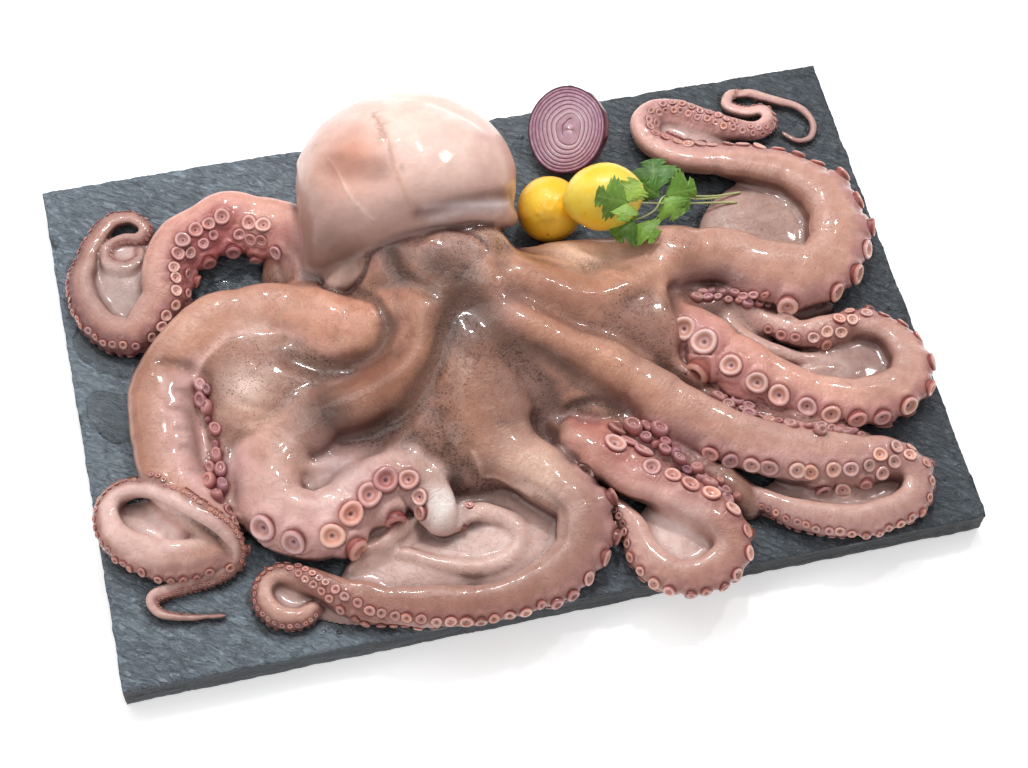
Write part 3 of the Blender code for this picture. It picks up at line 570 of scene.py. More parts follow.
def addFold(field, line, width, height):
    # lowers the field by the height times exp(-(distance / width)^2) round a line laid on the skin,
    # which fades at its ends
    rows = smoothRoute([(*p, 0, 0) for p in line], foldStep)[:, :3]
    rows = ontoSkin(field, rows, 10)
    rows = np.column_stack([
        np.convolve(np.pad(column, 2, mode="edge"), np.ones(5) / 5, "valid") for column in rows.T])
    ends = min(0.014, 0.35 * foldStep * len(rows))
    run = foldStep * np.arange(len(rows))
    fades = softStep(np.minimum(run, run[-1] - run) + 0.2 * ends, 0, ends)
    amount = np.zeros(gridShape, np.float32)
    for place, fade in zip(rows, fades):
        part = boxAround(place, 2.3 * width)
        dx, dy, dz = offsets(part, place)
        near = np.float32(fade) * np.exp((dx * dx + dy * dy + dz * dz) / np.float32(-width * width))
        np.maximum(amount[part], near, out=amount[part])
    whole = boxAround((rows.min(0) + rows.max(0)) / 2, (rows.max(0) - rows.min(0)) / 2 + 2.5 * width)
    field[whole] -= np.float32(height) * amount[whole]


def sampleField(field, points):
    # the field at loose points, blended between the grid's corners
    t = np.clip((points - gridLow) / gridStep, 0, np.array(gridShape) - 1.001)
    low = t.astype(int)
    share = t - low
    total = np.zeros(len(points))
    for corner in np.ndindex(2, 2, 2):
        weight = np.prod(np.where(corner, share, 1 - share), axis=1)
        total += weight * field[tuple((low + corner).T)]
    return total


def slopeOf(field, points, reach=0.0009):
    return np.column_stack([
        sampleField(field, points + reach * axis) - sampleField(field, points - reach * axis)
        for axis in np.eye(3)
    ]) / (2 * reach)


def ontoSkin(field, points, rounds=3):
    # moves points along the field's slope until the field is zero
    for _ in range(rounds):
        slope = slopeOf(field, points)
        steep = np.maximum((slope**2).sum(1), 0.05)
        points = points - np.clip(sampleField(field, points) / steep, -0.004, 0.004)[:, None] * slope
    return points


def netOver(field, low=gridLow, step=gridStep):
    # one point in each cell that the surface crosses, at the mean of the crossings on its edges,
    # and one quad across each grid edge that the surface crosses
    inside = field < 0
    shape = field.shape
    count = np.zeros(tuple(n - 1 for n in shape), np.int8)
    for i, j, k in np.ndindex(2, 2, 2):
        count += inside[i:shape[0] - 1 + i, j:shape[1] - 1 + j, k:shape[2] - 1 + k]
    active = (count > 0) & (count < 8)
    cells = np.argwhere(active)
    number = np.full(active.shape, -1, np.int32)
    number[active] = np.arange(len(cells))
    total, crossings = np.zeros((len(cells), 3)), np.zeros(len(cells))
    corners = np.array(list(np.ndindex(2, 2, 2)))
    for a in corners:
        for axis in range(3):
            if a[axis]:
                continue
            b = a + np.eye(3, dtype=int)[axis]
            fa, fb = field[tuple((cells + a).T)].astype(float), field[tuple((cells + b).T)].astype(float)
            crosses = (fa < 0) != (fb < 0)
            t = np.where(crosses, fa / np.where(crosses, fa - fb, 1), 0)
            total += crosses[:, None] * (a + t[:, None] * (b - a))
            crossings += crosses
    points = low + (cells + total / crossings[:, None]) * step
    quads = []
    for axis in range(3):
        one, two = (axis + 1) % 3, (axis + 2) % 3
        here = [slice(1, n - 1) for n in shape]
        here[axis] = slice(0, shape[axis] - 1)
        there = list(here)
        there[axis] = slice(1, shape[axis])
        first, second = inside[tuple(here)], inside[tuple(there)]
        for start, turn in ((True, 1), (False, -1)):
            at = np.argwhere((first != second) & (first == start))
            at += [0 if k == axis else 1 for k in range(3)]
            e1, e2 = np.eye(3, dtype=int)[one], np.eye(3, dtype=int)[two]
            ring = [number[tuple((at - back).T)] for back in (e1 + e2, e2, 0 * e1, e1)]
            quads.append(np.column_stack(ring[::turn]))
    return points, np.vstack(quads)


def settle(field, points, quads, rounds=3):
    # evens out the points: each moves half way to its neighbours' mean, then back onto the skin
    one, other = np.vstack([quads[:, [0, 1]], quads[:, [1, 2]], quads[:, [2, 3]], quads[:, [3, 0]]]).T
    count = np.maximum(np.bincount(one, minlength=len(points)), 1)[:, None]
    for _ in range(rounds):
        mean = np.column_stack([np.bincount(one, points[other, k], len(points)) for k in range(3)]) / count
        points = ontoSkin(field, points + 0.5 * (mean - points), 1)
    return points


def spotMap(x, y, radius):
    # 1 at a place and fading round it, over the grid seen from above
    squared = (gridAxes[0][:, None] - x) ** 2 + (gridAxes[1][None, :] - y) ** 2
    return np.exp(-(squared / radius**2) * 1.5)


crownMiddle = np.array([-0.020, 0.0])
away = np.hypot(gridAxes[0][:, None] - crownMiddle[0], gridAxes[1][None, :] - crownMiddle[1])
blendMap = skinValues["blendAtCrown"] + (skinValues["blendFarOut"] - skinValues["blendAtCrown"]) * softStep(
    away, *skinValues["blendReach"])
for x, y, radius in skinValues["crispSpots"]:
    blendMap = blendMap + (skinValues["blendFarOut"] - blendMap) * spotMap(x, y, radius)
for x, y, radius, blend in skinValues["softSpots"]:
    blendMap = np.maximum(blendMap, blend * spotMap(x, y, radius))
blendMap = blendMap[:, :, None].astype(np.float32)

routes = {}
for k, (name, stops) in enumerate(arms.items()):
    rows = smoothRoute(stops, skinValues["sampleStep"])
    run = skinValues["sampleStep"] * np.arange(len(rows))
    rows[:, 3] *= 1 + 0.055 * valueNoise([run], 0.016, 100 + k)
    shifts = np.column_stack([valueNoise([run], 0.013, seed + k) for seed in (200, 300)])
    rows[:, :2] += rows[:, 3:4] * 0.06 * shifts
    routes[name] = rows
bodyField = emptyField()
for spec in bodyParts.values():
    addEllipsoid(bodyField, spec, 0.016, 0.022)
mantleField = emptyField()
for spec in mantleParts.values():
    addEllipsoid(mantleField, spec, 0.010, 0.022)
mantleField = -smoothMin(-mantleField, gridAxes[1].reshape(1, -1, 1) - np.float32(hemPlace), 0.022)
addEllipsoid(mantleField, flapPart, 0.006, 0.016)
mantleField = addRoll(mantleField, hemRoll["points"], hemRoll["halfWidth"], 0.008)
say("body and mantle")

armsField = emptyField()
skinField = bodyField.copy()
for name, rows in routes.items():
    nearCrown = 1 - softStep(np.hypot(*(rows[:, :2] - crownMiddle).T), *skinValues["blendReach"])
    one = armField(rows, 0.004 + 0.015 * nearCrown)
    skinField = smoothMin(skinField, one, blendMap)
    np.minimum(armsField, one, out=armsField)
say("arms")
webField = emptyField()
for x, y, length, width, tall, turn in webs.values():
    addEllipsoid(webField, (x, y, 0.0, length, width, tall, turn), 0.004, 0.010)
webMap = np.full(gridShape[:2], webBlend)
for x, y, radius in webCrisp:
    webMap = webMap + (0.002 - webMap) * spotMap(x, y, radius)
skinField = smoothMin(skinField, webField, webMap[:, :, None].astype(np.float32))
for line, width, height in bodyFolds.values():
    addFold(skinField, line, width, height)
say("folds")
skinField = smoothMin(skinField, mantleField, 0.0045)
skinField += 0.0007 * valueNoise(gridAxes, 0.021, 3) + 0.00028 * valueNoise(gridAxes, 0.0075, 4)
heightAxis = gridAxes[2].reshape(1, 1, -1)
skinField = np.maximum(skinField, skinValues["gap"] - heightAxis)
skinField = np.maximum(skinField, (np.float32(gridLow[2]) + 0.002) - heightAxis)
say("skin field")

points, quads = netOver(skinField)
points = settle(skinField, points, quads)
say(f"net of {len(points)} points")

# suckers: two rows on each arm

suckerValues = {
    "shares": {  # a sucker's radius over its arm's half width
        "back_left": 0.28, "left": 0.26, "front_left": 0.42, "front": 0.33,
        "front_right": 0.40, "right_front": 0.34, "right": 0.43, "back_right": 0.36,
    },
    "pitch": {  # from one sucker to the next in a row, over its radius
        "back_left": 1.95, "left": 2.15, "front_left": 1.92, "front": 2.2,
        "front_right": 2.2, "right_front": 2.2, "right": 2.35, "back_right": 2.3,
    },
    "spread": 27.0,  # each row lies this far, in degrees, from the middle of the sucker side
    "creases": allInMetres({  # closed cups squeezed between two arms: points, first and last radius
        "lefts": ([(-211.2, 1, 28), (-211.1, -12.3, 28), (-214.5, -24.3, 26),
                   (-213, -35.6, 26), (-213.7, -48, 26), (-213.8, -60.3, 24),
                   (-215, -72.1, 24), (-211, -84.2, 22)], 6.6, 5.6),
        "backRights": ([(144, 4, 22), (160, 1, 20), (178, -5, 18), (196, -10, 16)], 5.8, 4),
        "rights": ([(136, -79, 20), (154.6, -94.5, 20), (170, -108, 20), (186, -119, 20),
                    (206, -124, 20), (228, -127.5, 20)], 6, 4.5),
        "frontRights": ([(73, -90, 22), (83.5, -103.2, 22), (92.4, -114.6, 20),
                         (101.2, -126, 20), (109.1, -137, 20), (118.8, -146.9, 18),
                         (127, -157.9, 18)], 7, 5),
    }),
    "first": {  # how far out from the head they start, as a share of the arm
        "back_left": 0.24, "left": 0.46, "front_left": 0.40, "front": 0.26,
        "front_right": 0.31, "right_front": 0.30, "right": 0.235, "back_right": 0.24,
    },
    "crowded": {"back_left": (0.22, 0.47), "front_left": (0.48, 0.66)},  # where a third row lies between
    "dusky": inMetres([  # darker cups: x, y, reach
        (-112, -104, 36), (-176, 112, 40), (-214, -40, 50), (90, -110, 45)]),
    "smallest": 0.0007,
    "large": 0.0042,  # a sucker with a larger radius gets the finer cup
    # the hole's colour is painted shade
    "hole": (122, 84, 80),
    "warmer": (0.05, -0.10, -0.20),  # changes of the linear colour, as shares of it
    "cooler": (0.16, 0.22, 0.10),
    "duskier": (0.15, 0.27, 0.20),
    "seed": 11,
    "cupSeed": 5,
}


def suckerPlaces(field):
    # foot on the skin, axis and radius of each sucker: a ray from the arm's middle finds the skin
    rng = np.random.default_rng(suckerValues["seed"])
    found = []
    for arm, rows in routes.items():
        length = np.linalg.norm(np.diff(rows[:, :3], axis=0), axis=1).sum()
        _, outs, across = armFrames(rows)
        crowd = suckerValues["crowded"].get(arm, (2, 2))
        for side in (-1, 1, 0):
            at = suckerValues["first"][arm] + (0.009 / length if side > 0 else 0.0) if side else crowd[0]
            while at < (0.995 if side else crowd[1]):
                k = int(at * (len(rows) - 1))
                size = suckerValues["shares"][arm] * max(rows[k, 3], thinnest) * rng.uniform(0.90, 1.07)
                wide = 1.45 if crowd[0] < at < crowd[1] else 1.0
                size *= 1 if side else 0.8
                angle = math.radians(side * wide * suckerValues["spread"] + rng.uniform(-6, 6))
                ray = outs[k] * math.cos(angle) + across[k] * math.sin(angle)
                if size > suckerValues["smallest"]:
                    found.append((rows[k, :3], ray, size, rows[k, 3], across[k], False))
                at += suckerValues["pitch"][arm] * size * rng.uniform(0.94, 1.06) / length
    for line, start, end in suckerValues["creases"].values():
        rows = smoothRoute([(*p, 0, 0) for p in line], 0.0005)
        across = armFrames(rows)[2]
        k, side = 0, 1
        while k < len(rows):
            size = (start + (end - start) * k / len(rows)) * rng.uniform(0.62, 1.15)
            start3 = rows[k, :3] + across[k] * side * size * rng.uniform(0.2, 0.8) - [0, 0, 0.012]
            found.append((start3, np.array([0, 0, 1.0]), size, 0.014, across[k], True))
            k, side = k + round(size * rng.uniform(0.65, 1.15) / 0.0005), -side
    middle, out, radius, half, sideways, pinched = map(np.array, zip(*found))
    steps = np.arange(0, 2.2, 0.06)
    values = np.stack([sampleField(field, middle + out * (half * t)[:, None]) for t in steps], 1)
    outside = values > 0
    first = np.argmax(outside, axis=1)
    reach = steps[first] * half
    foot = ontoSkin(field, middle + out * reach[:, None])
    normal = slopeOf(field, foot)
    normal /= np.linalg.norm(normal, axis=1)[:, None]
    axis = normal * 0.65 + out * 0.35 + rng.normal(0, 1, out.shape) * np.where(pinched, 0.30, 0.09)[:, None]
    axis /= np.linalg.norm(axis, axis=1)[:, None]
    free = sampleField(field, foot + axis * (1.3 * radius)[:, None]) > np.where(pinched, -0.6, 0.25) * radius
    good = outside.any(1) & (first > 2) & (pinched | (reach < 1.45 * half)) & free
    good &= (axis[:, 2] > -0.75) & (foot[:, 2] > 0.25 * radius + 0.001)
    return foot[good], axis[good], radius[good], sideways[good], pinched[good]


foot, axis, radius, sideways, pinched = suckerPlaces(skinField)
order = np.argsort(-radius * (1 + pinched))
kept = []
for k in order:
    room = 0.54 if pinched[k] else 0.84
    if all(np.linalg.norm(foot[k] - foot[j]) > room * (radius[k] + radius[j]) for j in kept):
        kept.append(k)
foot, axis, radius, sideways, pinched = foot[kept], axis[kept], radius[kept], sideways[kept], pinched[kept]
# those on an outer edge stand out like knobs
raised = np.where(pinched, 0, softStep(0.55 - axis[:, 2], 0, 0.45))
say(f"{len(foot)} suckers")

# lines and dents pressed into the skin or raised from it: points, half width, height, tint, share of tint
skinLines = {
    "scar": ([(-99.8, 124.5, 93), (-93.3, 107.7, 92), (-86.1, 90.9, 86), (-74.8, 79, 80)],
        0.9, 0.6, (250, 222, 210), 0.6),
    "seam": ([(-61.8, 149.8, 100), (-57.7, 128.5, 104), (-56.8, 112.8, 104), (-57, 98.6, 100)],
        1.1, -0.6, (176, 118, 92), 0.5),
    "seamLow": ([(-57, 98.6, 100), (-52.6, 86.3, 92), (-50, 78, 82)], 1.4, 0.4, (214, 164, 140), 0.5),
    # hemUnder is painted shade in the crease under the mantle's hem
    "hemUnder": ([(-77.6, 65, 40), (-56, 64, 52), (-36.8, 68, 62), (-12.2, 68, 66), (8, 66, 60)],
        1.4, -1, (110, 80, 74), 0.4),
    "hemFurrow": ([(-45, 84, 78), (-20, 82, 80), (4, 84, 74), (20, 88, 62)], 6, -2, (190, 152, 144), 0.5),
    "hemBand": ([(-36, 78, 74), (-8, 76, 74), (16, 78, 62)], 4, 0.8, (226, 206, 206), 0.6),
    "frontCrease": ([(-38.1, -86.7, 26), (-37.9, -95, 24), (-37.7, -103.9, 20), (-32, -115, 24),
        (-24, -124, 25), (-12.5, -130.8, 27)], 1.8, 1.8, (226, 190, 176), 0.7),
    # flapUnder is painted shade under the flap
    "flapUnder": ([(-79.5, 62.5, 48), (-84.5, 55, 42), (-95.7, 49.5, 36), (-108.4, 51.5, 30), (-117, 60, 26)],
        1.8, -1.6, (92, 62, 54), 0.75),
    "mantleEdge": ([(-49.8, 162.5, 100), (-72.8, 166.8, 90), (-97.1, 154.6, 76), (-112.8, 142.9, 60)],
        4, 1.8, (252, 236, 232), 0.65),
    "mantleStreak": ([(-20, 148, 104), (-2, 135, 103), (12, 124, 96)], 3.6, 1.4, (252, 238, 234), 0.65),
    "blueBand": ([(-40, 79, 84), (-7.4, 77.1, 78), (21.6, 80.4, 62)], 3.4, 1.2, (222, 208, 212), 0.6),
    "mantleRidge": ([(-108, 148, 80), (-90, 162, 88), (-65, 168, 92)], 5, 1.6, (250, 230, 224), 0.5),
    "underPeach": ([(-96, 118, 92), (-80, 105, 98), (-68, 100, 99)], 12, -2.2, (226, 164, 142), 0.2),
}
skinLines = allInMetres(skinLines, 2)
for k in range(22):
    # short twigs on both sides of the seam
    drift = np.random.default_rng(400 + k)
    y = 0.147 - 0.0027 * k
    x = np.interp(y, (0.080, 0.0863, 0.0986, 0.1285, 0.1498), (-0.0515, -0.0526, -0.0570, -0.0577, -0.0618))
    side = drift.choice((-1, 1)) * drift.uniform(0.0015, 0.0055)
    ends = [(x, y, 0.100), (x + side, y + drift.uniform(-0.001, 0.003), 0.100)]
    skinLines[f"twig{k}"] = (ends, 0.0007, 0.0, (146, 92, 72), 0.55)


def nearLine(places, line):
    # distance to the nearest of the line's closely set points, once they are laid on the skin
    rows = smoothRoute([(*p, 0, 0) for p in line], 0.0012)[:, :3]
    rows = ontoSkin(skinField, rows, 12)
    return nearest(places, rows)[0]


def nearest(places, others, radii=None, chunk=4000):
    # for each place the least distance to the others, less their radii, and which one it is
    best, which = np.empty(len(places)), np.empty(len(places), int)
    small = others.astype(np.float32)
    less = np.zeros(len(others), np.float32) if radii is None else radii.astype(np.float32)
    squares = (small**2).sum(1)
    for start in range(0, len(places), chunk):
        some = places[start:start + chunk].astype(np.float32)
        gap = np.sqrt(np.maximum((some**2).sum(1)[:, None] + squares - 2 * some @ small.T, 0)) - less
        which[start:start + chunk] = gap.argmin(1)
        best[start:start + chunk] = gap[np.arange(len(some)), which[start:start + chunk]]
    return best, which


slope = slopeOf(skinField, points)
normal = slope / np.maximum(np.linalg.norm(slope, axis=1), 1e-6)[:, None]
top = softStep(points[:, 2], 0.0015, 0.004)
move = np.zeros(len(points))
for line, width, height, _, _ in skinLines.values():
    move += height * np.exp(-(nearLine(points, line) / width) ** 2)
gap, which = nearest(points, foot)
ratio = gap / radius[which]
ring = 0.30 * np.exp(-(((ratio - 1.05) / 0.45) ** 2)) - 0.40 * np.exp(-((ratio / 0.75) ** 2))
move += np.where(pinched[which], 0.4, 1.0) * radius[which] * ring
move += 0.60 * (raised * radius)[which] * np.exp(-((ratio / 1.15) ** 2))
points = points + (top * move)[:, None] * normal
foot = foot + (0.45 * raised * radius)[:, None] * axis
say("lines and mounds")


# colours painted on the skin

# an arm's colours at shares of its length: (share, smooth side, sucker side)
armColours = {
    "back_left": [
        (0.0, (178, 132, 118), (172, 128, 120)), (0.16, (190, 146, 136), (184, 140, 134)),
        (0.24, (226, 164, 146), (196, 118, 112)), (0.36, (226, 166, 150), (176, 98, 98)),
        (0.5, (206, 154, 140), (160, 104, 102)), (0.62, (178, 128, 114), (128, 86, 84)),
        (1.0, (190, 148, 138), (166, 118, 110)),
    ],
    "left": [
        (0.0, (206, 150, 126), (200, 140, 130)), (0.18, (222, 166, 142), (220, 172, 160)),
        (0.3, (196, 140, 116), (232, 188, 180)), (0.44, (196, 142, 120), (230, 184, 176)),
        (0.52, (206, 158, 142), (180, 132, 122)), (0.66, (242, 206, 198), (170, 124, 110)),
        (1.0, (206, 164, 154), (174, 126, 116)),
    ],
    "front_left": [
        (0.0, (176, 124, 102), (204, 150, 140)), (0.2, (166, 116, 96), (214, 168, 158)),
        (0.3, (204, 158, 142), (222, 176, 166)), (0.36, (222, 176, 164), (230, 184, 174)),
        (0.5, (240, 200, 192), (232, 184, 178)), (0.7, (218, 180, 168), (206, 166, 156)),
        (1.0, (206, 170, 158), (200, 160, 150)),
    ],
    "front": [
        (0.0, (150, 110, 96), (154, 112, 100)), (0.22, (200, 154, 136), (196, 150, 144)),
        (0.34, (180, 134, 120), (182, 136, 132)), (0.5, (176, 126, 108), (168, 118, 108)),
        (0.75, (178, 130, 114), (166, 116, 104)), (0.9, (206, 160, 144), (146, 102, 92)),
        (1.0, (206, 160, 144), (140, 98, 90)),
    ],
    "front_right": [
        (0.0, (150, 108, 94), (174, 112, 100)), (0.3, (180, 120, 108), (190, 122, 112)),
        (0.43, (230, 178, 166), (206, 146, 136)), (0.6, (184, 132, 118), (176, 124, 116)),
        (1.0, (212, 164, 150), (192, 144, 134)),
    ],
    "right_front": [
        (0.0, (176, 128, 108), (170, 120, 112)), (0.3, (212, 158, 138), (178, 122, 116)),
        (0.5, (220, 172, 158), (206, 158, 152)), (0.7, (200, 154, 142), (190, 144, 138)),
        (1.0, (204, 162, 150), (192, 148, 142)),
    ],
    "right": [
        (0.0, (160, 116, 104), (210, 156, 150)), (0.25, (214, 152, 134), (216, 148, 140)),
        (0.42, (246, 188, 168), (216, 154, 148)), (0.55, (226, 176, 160), (200, 142, 136)),
        (1.0, (200, 162, 152), (184, 140, 132)),
    ],
    "back_right": [
        (0.0, (206, 150, 124), (190, 140, 130)), (0.2, (220, 166, 144), (200, 150, 142)),
        (0.5, (218, 166, 150), (196, 144, 140)), (0.72, (240, 194, 184), (206, 154, 150)),
        (0.85, (232, 186, 178), (196, 150, 144)), (1.0, (210, 170, 162), (190, 148, 142)),
    ],
}
placeColours = {  # (x, y, height, reach, colour, share)
    "crownMiddle": (-28, -2, 56, 32, (106, 74, 62), 0.9),
    "crownFront": (-45, -55, 40, 36, (158, 112, 92), 0.75),
    "crownLow": (-30, -36, 46, 18, (172, 120, 98), 0.5),
    "crownRight": (40, 10, 50, 46, (176, 126, 106), 0.8),
    "crownShade": (4, -50, 34, 24, (166, 128, 118), 0.8),
    "headFront": (-28, 18, 60, 24, (110, 80, 68), 0.9),
    "head": (-20, 64, 64, 20, (196, 158, 144), 0.9),
    "headDarkLeft": (-40, 40, 60, 15, (78, 54, 44), 0.95),
    "headDarkRight": (-3.5, 60, 58, 9, (156, 118, 100), 0.7),
    "headRight": (10, 59, 54, 12, (236, 196, 172), 0.85),
    "headGlow": (8, 40, 58, 12, (196, 150, 126), 0.6),
    "headLeft": (-62, 50, 52, 15, (98, 70, 60), 0.85),
    "headLow": (-58, 22, 54, 13, (180, 128, 104), 0.7),
    "behindFlap": (-86, 50, 44, 14, (196, 146, 120), 0.7),
    "frontEdge": (-80, -90, 12, 26, (124, 92, 80), 0.75),
    "frontRidgeShade": (-132, -42, 32, 25, (72, 46, 38), 0.95),
    "frontRidgeShadeLow": (-100, -62, 22, 18, (92, 64, 54), 0.85),
    "saddle": (-178, 10, 30, 28, (178, 132, 116), 0.75),
    "saddlePlate": (-186, -26, 30, 26, (226, 176, 154), 0.7),
    "saddleBright": (-182, -12, 31, 15, (255, 226, 212), 0.75),
    "saddleGlow": (-170, 34, 34, 16, (240, 206, 192), 0.5),
    "leftRidge": (-112, 22, 44, 24, (230, 168, 142), 0.75),
    "leftBulge": (-205, 46, 30, 24, (224, 172, 148), 0.7),
    "leftOuter": (-250, 18, 14, 26, (134, 88, 70), 0.95),
    "leftOuterLow": (-258, -30, 10, 22, (140, 94, 76), 0.9),
    "frontLeftRidge": (-94, -26, 44, 24, (142, 92, 72), 0.9),
    "pinkFold": (-200, -62, 26, 14, (214, 166, 168), 0.6),
    "rightSheet": (92, -30, 36, 34, (168, 124, 108), 0.8),
    # the two rims below are painted near white: painted light where the rim behind the crown is lit
    "rimByLemons": (67.5, 48.5, 42, 22, (255, 214, 186), 0.95),
    "rimFar": (94, 50, 38, 22, (255, 212, 188), 0.9),
    "shoulder": (130, 48, 38, 22, (238, 178, 160), 0.7),
    "rightFrontTop": (60, -46, 46, 20, (218, 160, 132), 0.6),
    # the two hollows below are painted shade
    "hollowFrontShade": (14, -82, 18, 14, (114, 84, 78), 0.85),
    "hollowRight": (158, 4, 18, 28, (120, 90, 86), 0.85),
    "betweenRights": (170, -104, 18, 26, (150, 104, 102), 0.7),
    "betweenFrontRights": (96, -116, 18, 26, (146, 106, 104), 0.75),
    "rightTube": (132, -36, 34, 18, (236, 176, 172), 0.7),
    "webBackRight": (216, 58, 10, 40, (168, 132, 118), 0.85),
    "webBackLeft": (-256, 100, 6, 30, (176, 152, 146), 0.8),
    "webRight": (249.7, -71.3, 9, 34, (158, 124, 116), 0.85),
    "webFront": (-30, -146, 9, 40, (232, 200, 190), 0.7),
    # the two webs below are painted near white: painted light against the shade of the arms round them
    "webFrontRight": (84.4, -167.9, 9, 22, (248, 222, 216), 0.9),
    "webLeft": (-251.1, -94.6, 8, 22, (255, 226, 220), 0.9),
    "frontArmTop": (-2, -113, 34, 22, (244, 206, 186), 0.8),
    "whiteWeb": (-130, -82, 24, 26, (186, 152, 150), 0.9),
    "frill": (-104, -129, 12, 17, (226, 188, 176), 0.8),
    "blBase": (-130, 90, 24, 18, (160, 124, 116), 0.7),
    "blGlow": (-150, 122, 26, 16, (250, 200, 182), 0.6),
    # the bulb below is pale skin painted near white, partly as a painted highlight
    "bulb": (-72, -122, 22, 18, (255, 244, 238), 0.95),
}
placeColours = allInMetres(placeColours, 2)
mantleGround = (226, 186, 174)
mantleColours = {
    "top": ((-40, 150, 100), 50, (252, 226, 214), 0.85),
    "peach": ((-82, 114, 96), 24, (222, 150, 124), 0.9),
    "right": ((30, 112, 56), 34, (214, 170, 154), 0.8),
    # the three entries below are painted shade, where the mantle's lower left curves under
    "left": ((-118, 110, 50), 34, (164, 128, 114), 0.85),
    "leftSide": ((-108, 92, 46), 22, (140, 106, 96), 0.75),
    "lowLeft": ((-98, 80, 46), 26, (112, 84, 76), 0.9),
    "middle": ((-10, 120, 100), 40, (248, 216, 202), 0.7),
    "mauve": ((2.7, 90.9, 84), 14, (206, 160, 152), 0.6),
    "low": ((-50, 80, 70), 16, (196, 158, 148), 0.5),
    "flap": ((-96, 66, 34), 16, (172, 134, 116), 0.85),
    "rightEdge": ((34, 100, 50), 16, (214, 146, 110), 0.7),
    "flushRight": ((14, 124, 90), 13, (232, 180, 168), 0.6),
    "flushTop": ((-60, 172, 72), 20, (232, 176, 158), 0.7),
    "flushTopRight": ((-14, 170, 86), 24, (234, 180, 162), 0.8),
    "topEdge": ((-40, 182, 74), 26, (230, 182, 166), 0.7),
    # painted shade low on the mantle by the hem
    "greyLow": ((-70, 78, 58), 12, (158, 124, 120), 0.6),
    "paleLow": ((-86, 92, 78), 12, (238, 206, 196), 0.5),
}
mantleColours = allInMetres(mantleColours, 2)


def blendTo(colours, other, share):
    return colours + (srgb(*other) - colours) * np.asarray(share)[..., None]


skinPaint = {  # colour, share
    # painted highlight: an arm's smooth side is paler where it faces up
    "armRidgeHighlight": ((250, 214, 200), 0.22),
    "crown": ((160, 120, 104), 1.0),
    "web": ((204, 172, 164), 0.85),
    # painted shade in the valleys of the folds; the ridges are painted paler orange, partly the skin's own
    # colour and partly a painted highlight
    "valleyShade": ((96, 68, 58), 0.55),
    "ridge": ((228, 172, 142), 0.35),
    # the crown's bulges are painted paler orange, partly its own colour and partly a painted highlight; its
    # hollows get painted shade
    "bulge": ((220, 160, 130), 0.34),
    "hollow": ((92, 70, 62), 0.50),
    # painted shade round the feet of the suckers
    "cupFootShade": ((150, 88, 82), 0.60),
    # painted shade low on the skin, near the slate
    "shadeNearSlate": ((118, 76, 70), 0.70),
    # painted shade where nearby skin shuts a place in
    "shutInShade": ((92, 58, 54), 1.0),
}


def painted(colours, name, share):
    colour, most = skinPaint[name]
    return blendTo(colours, colour, most * share)


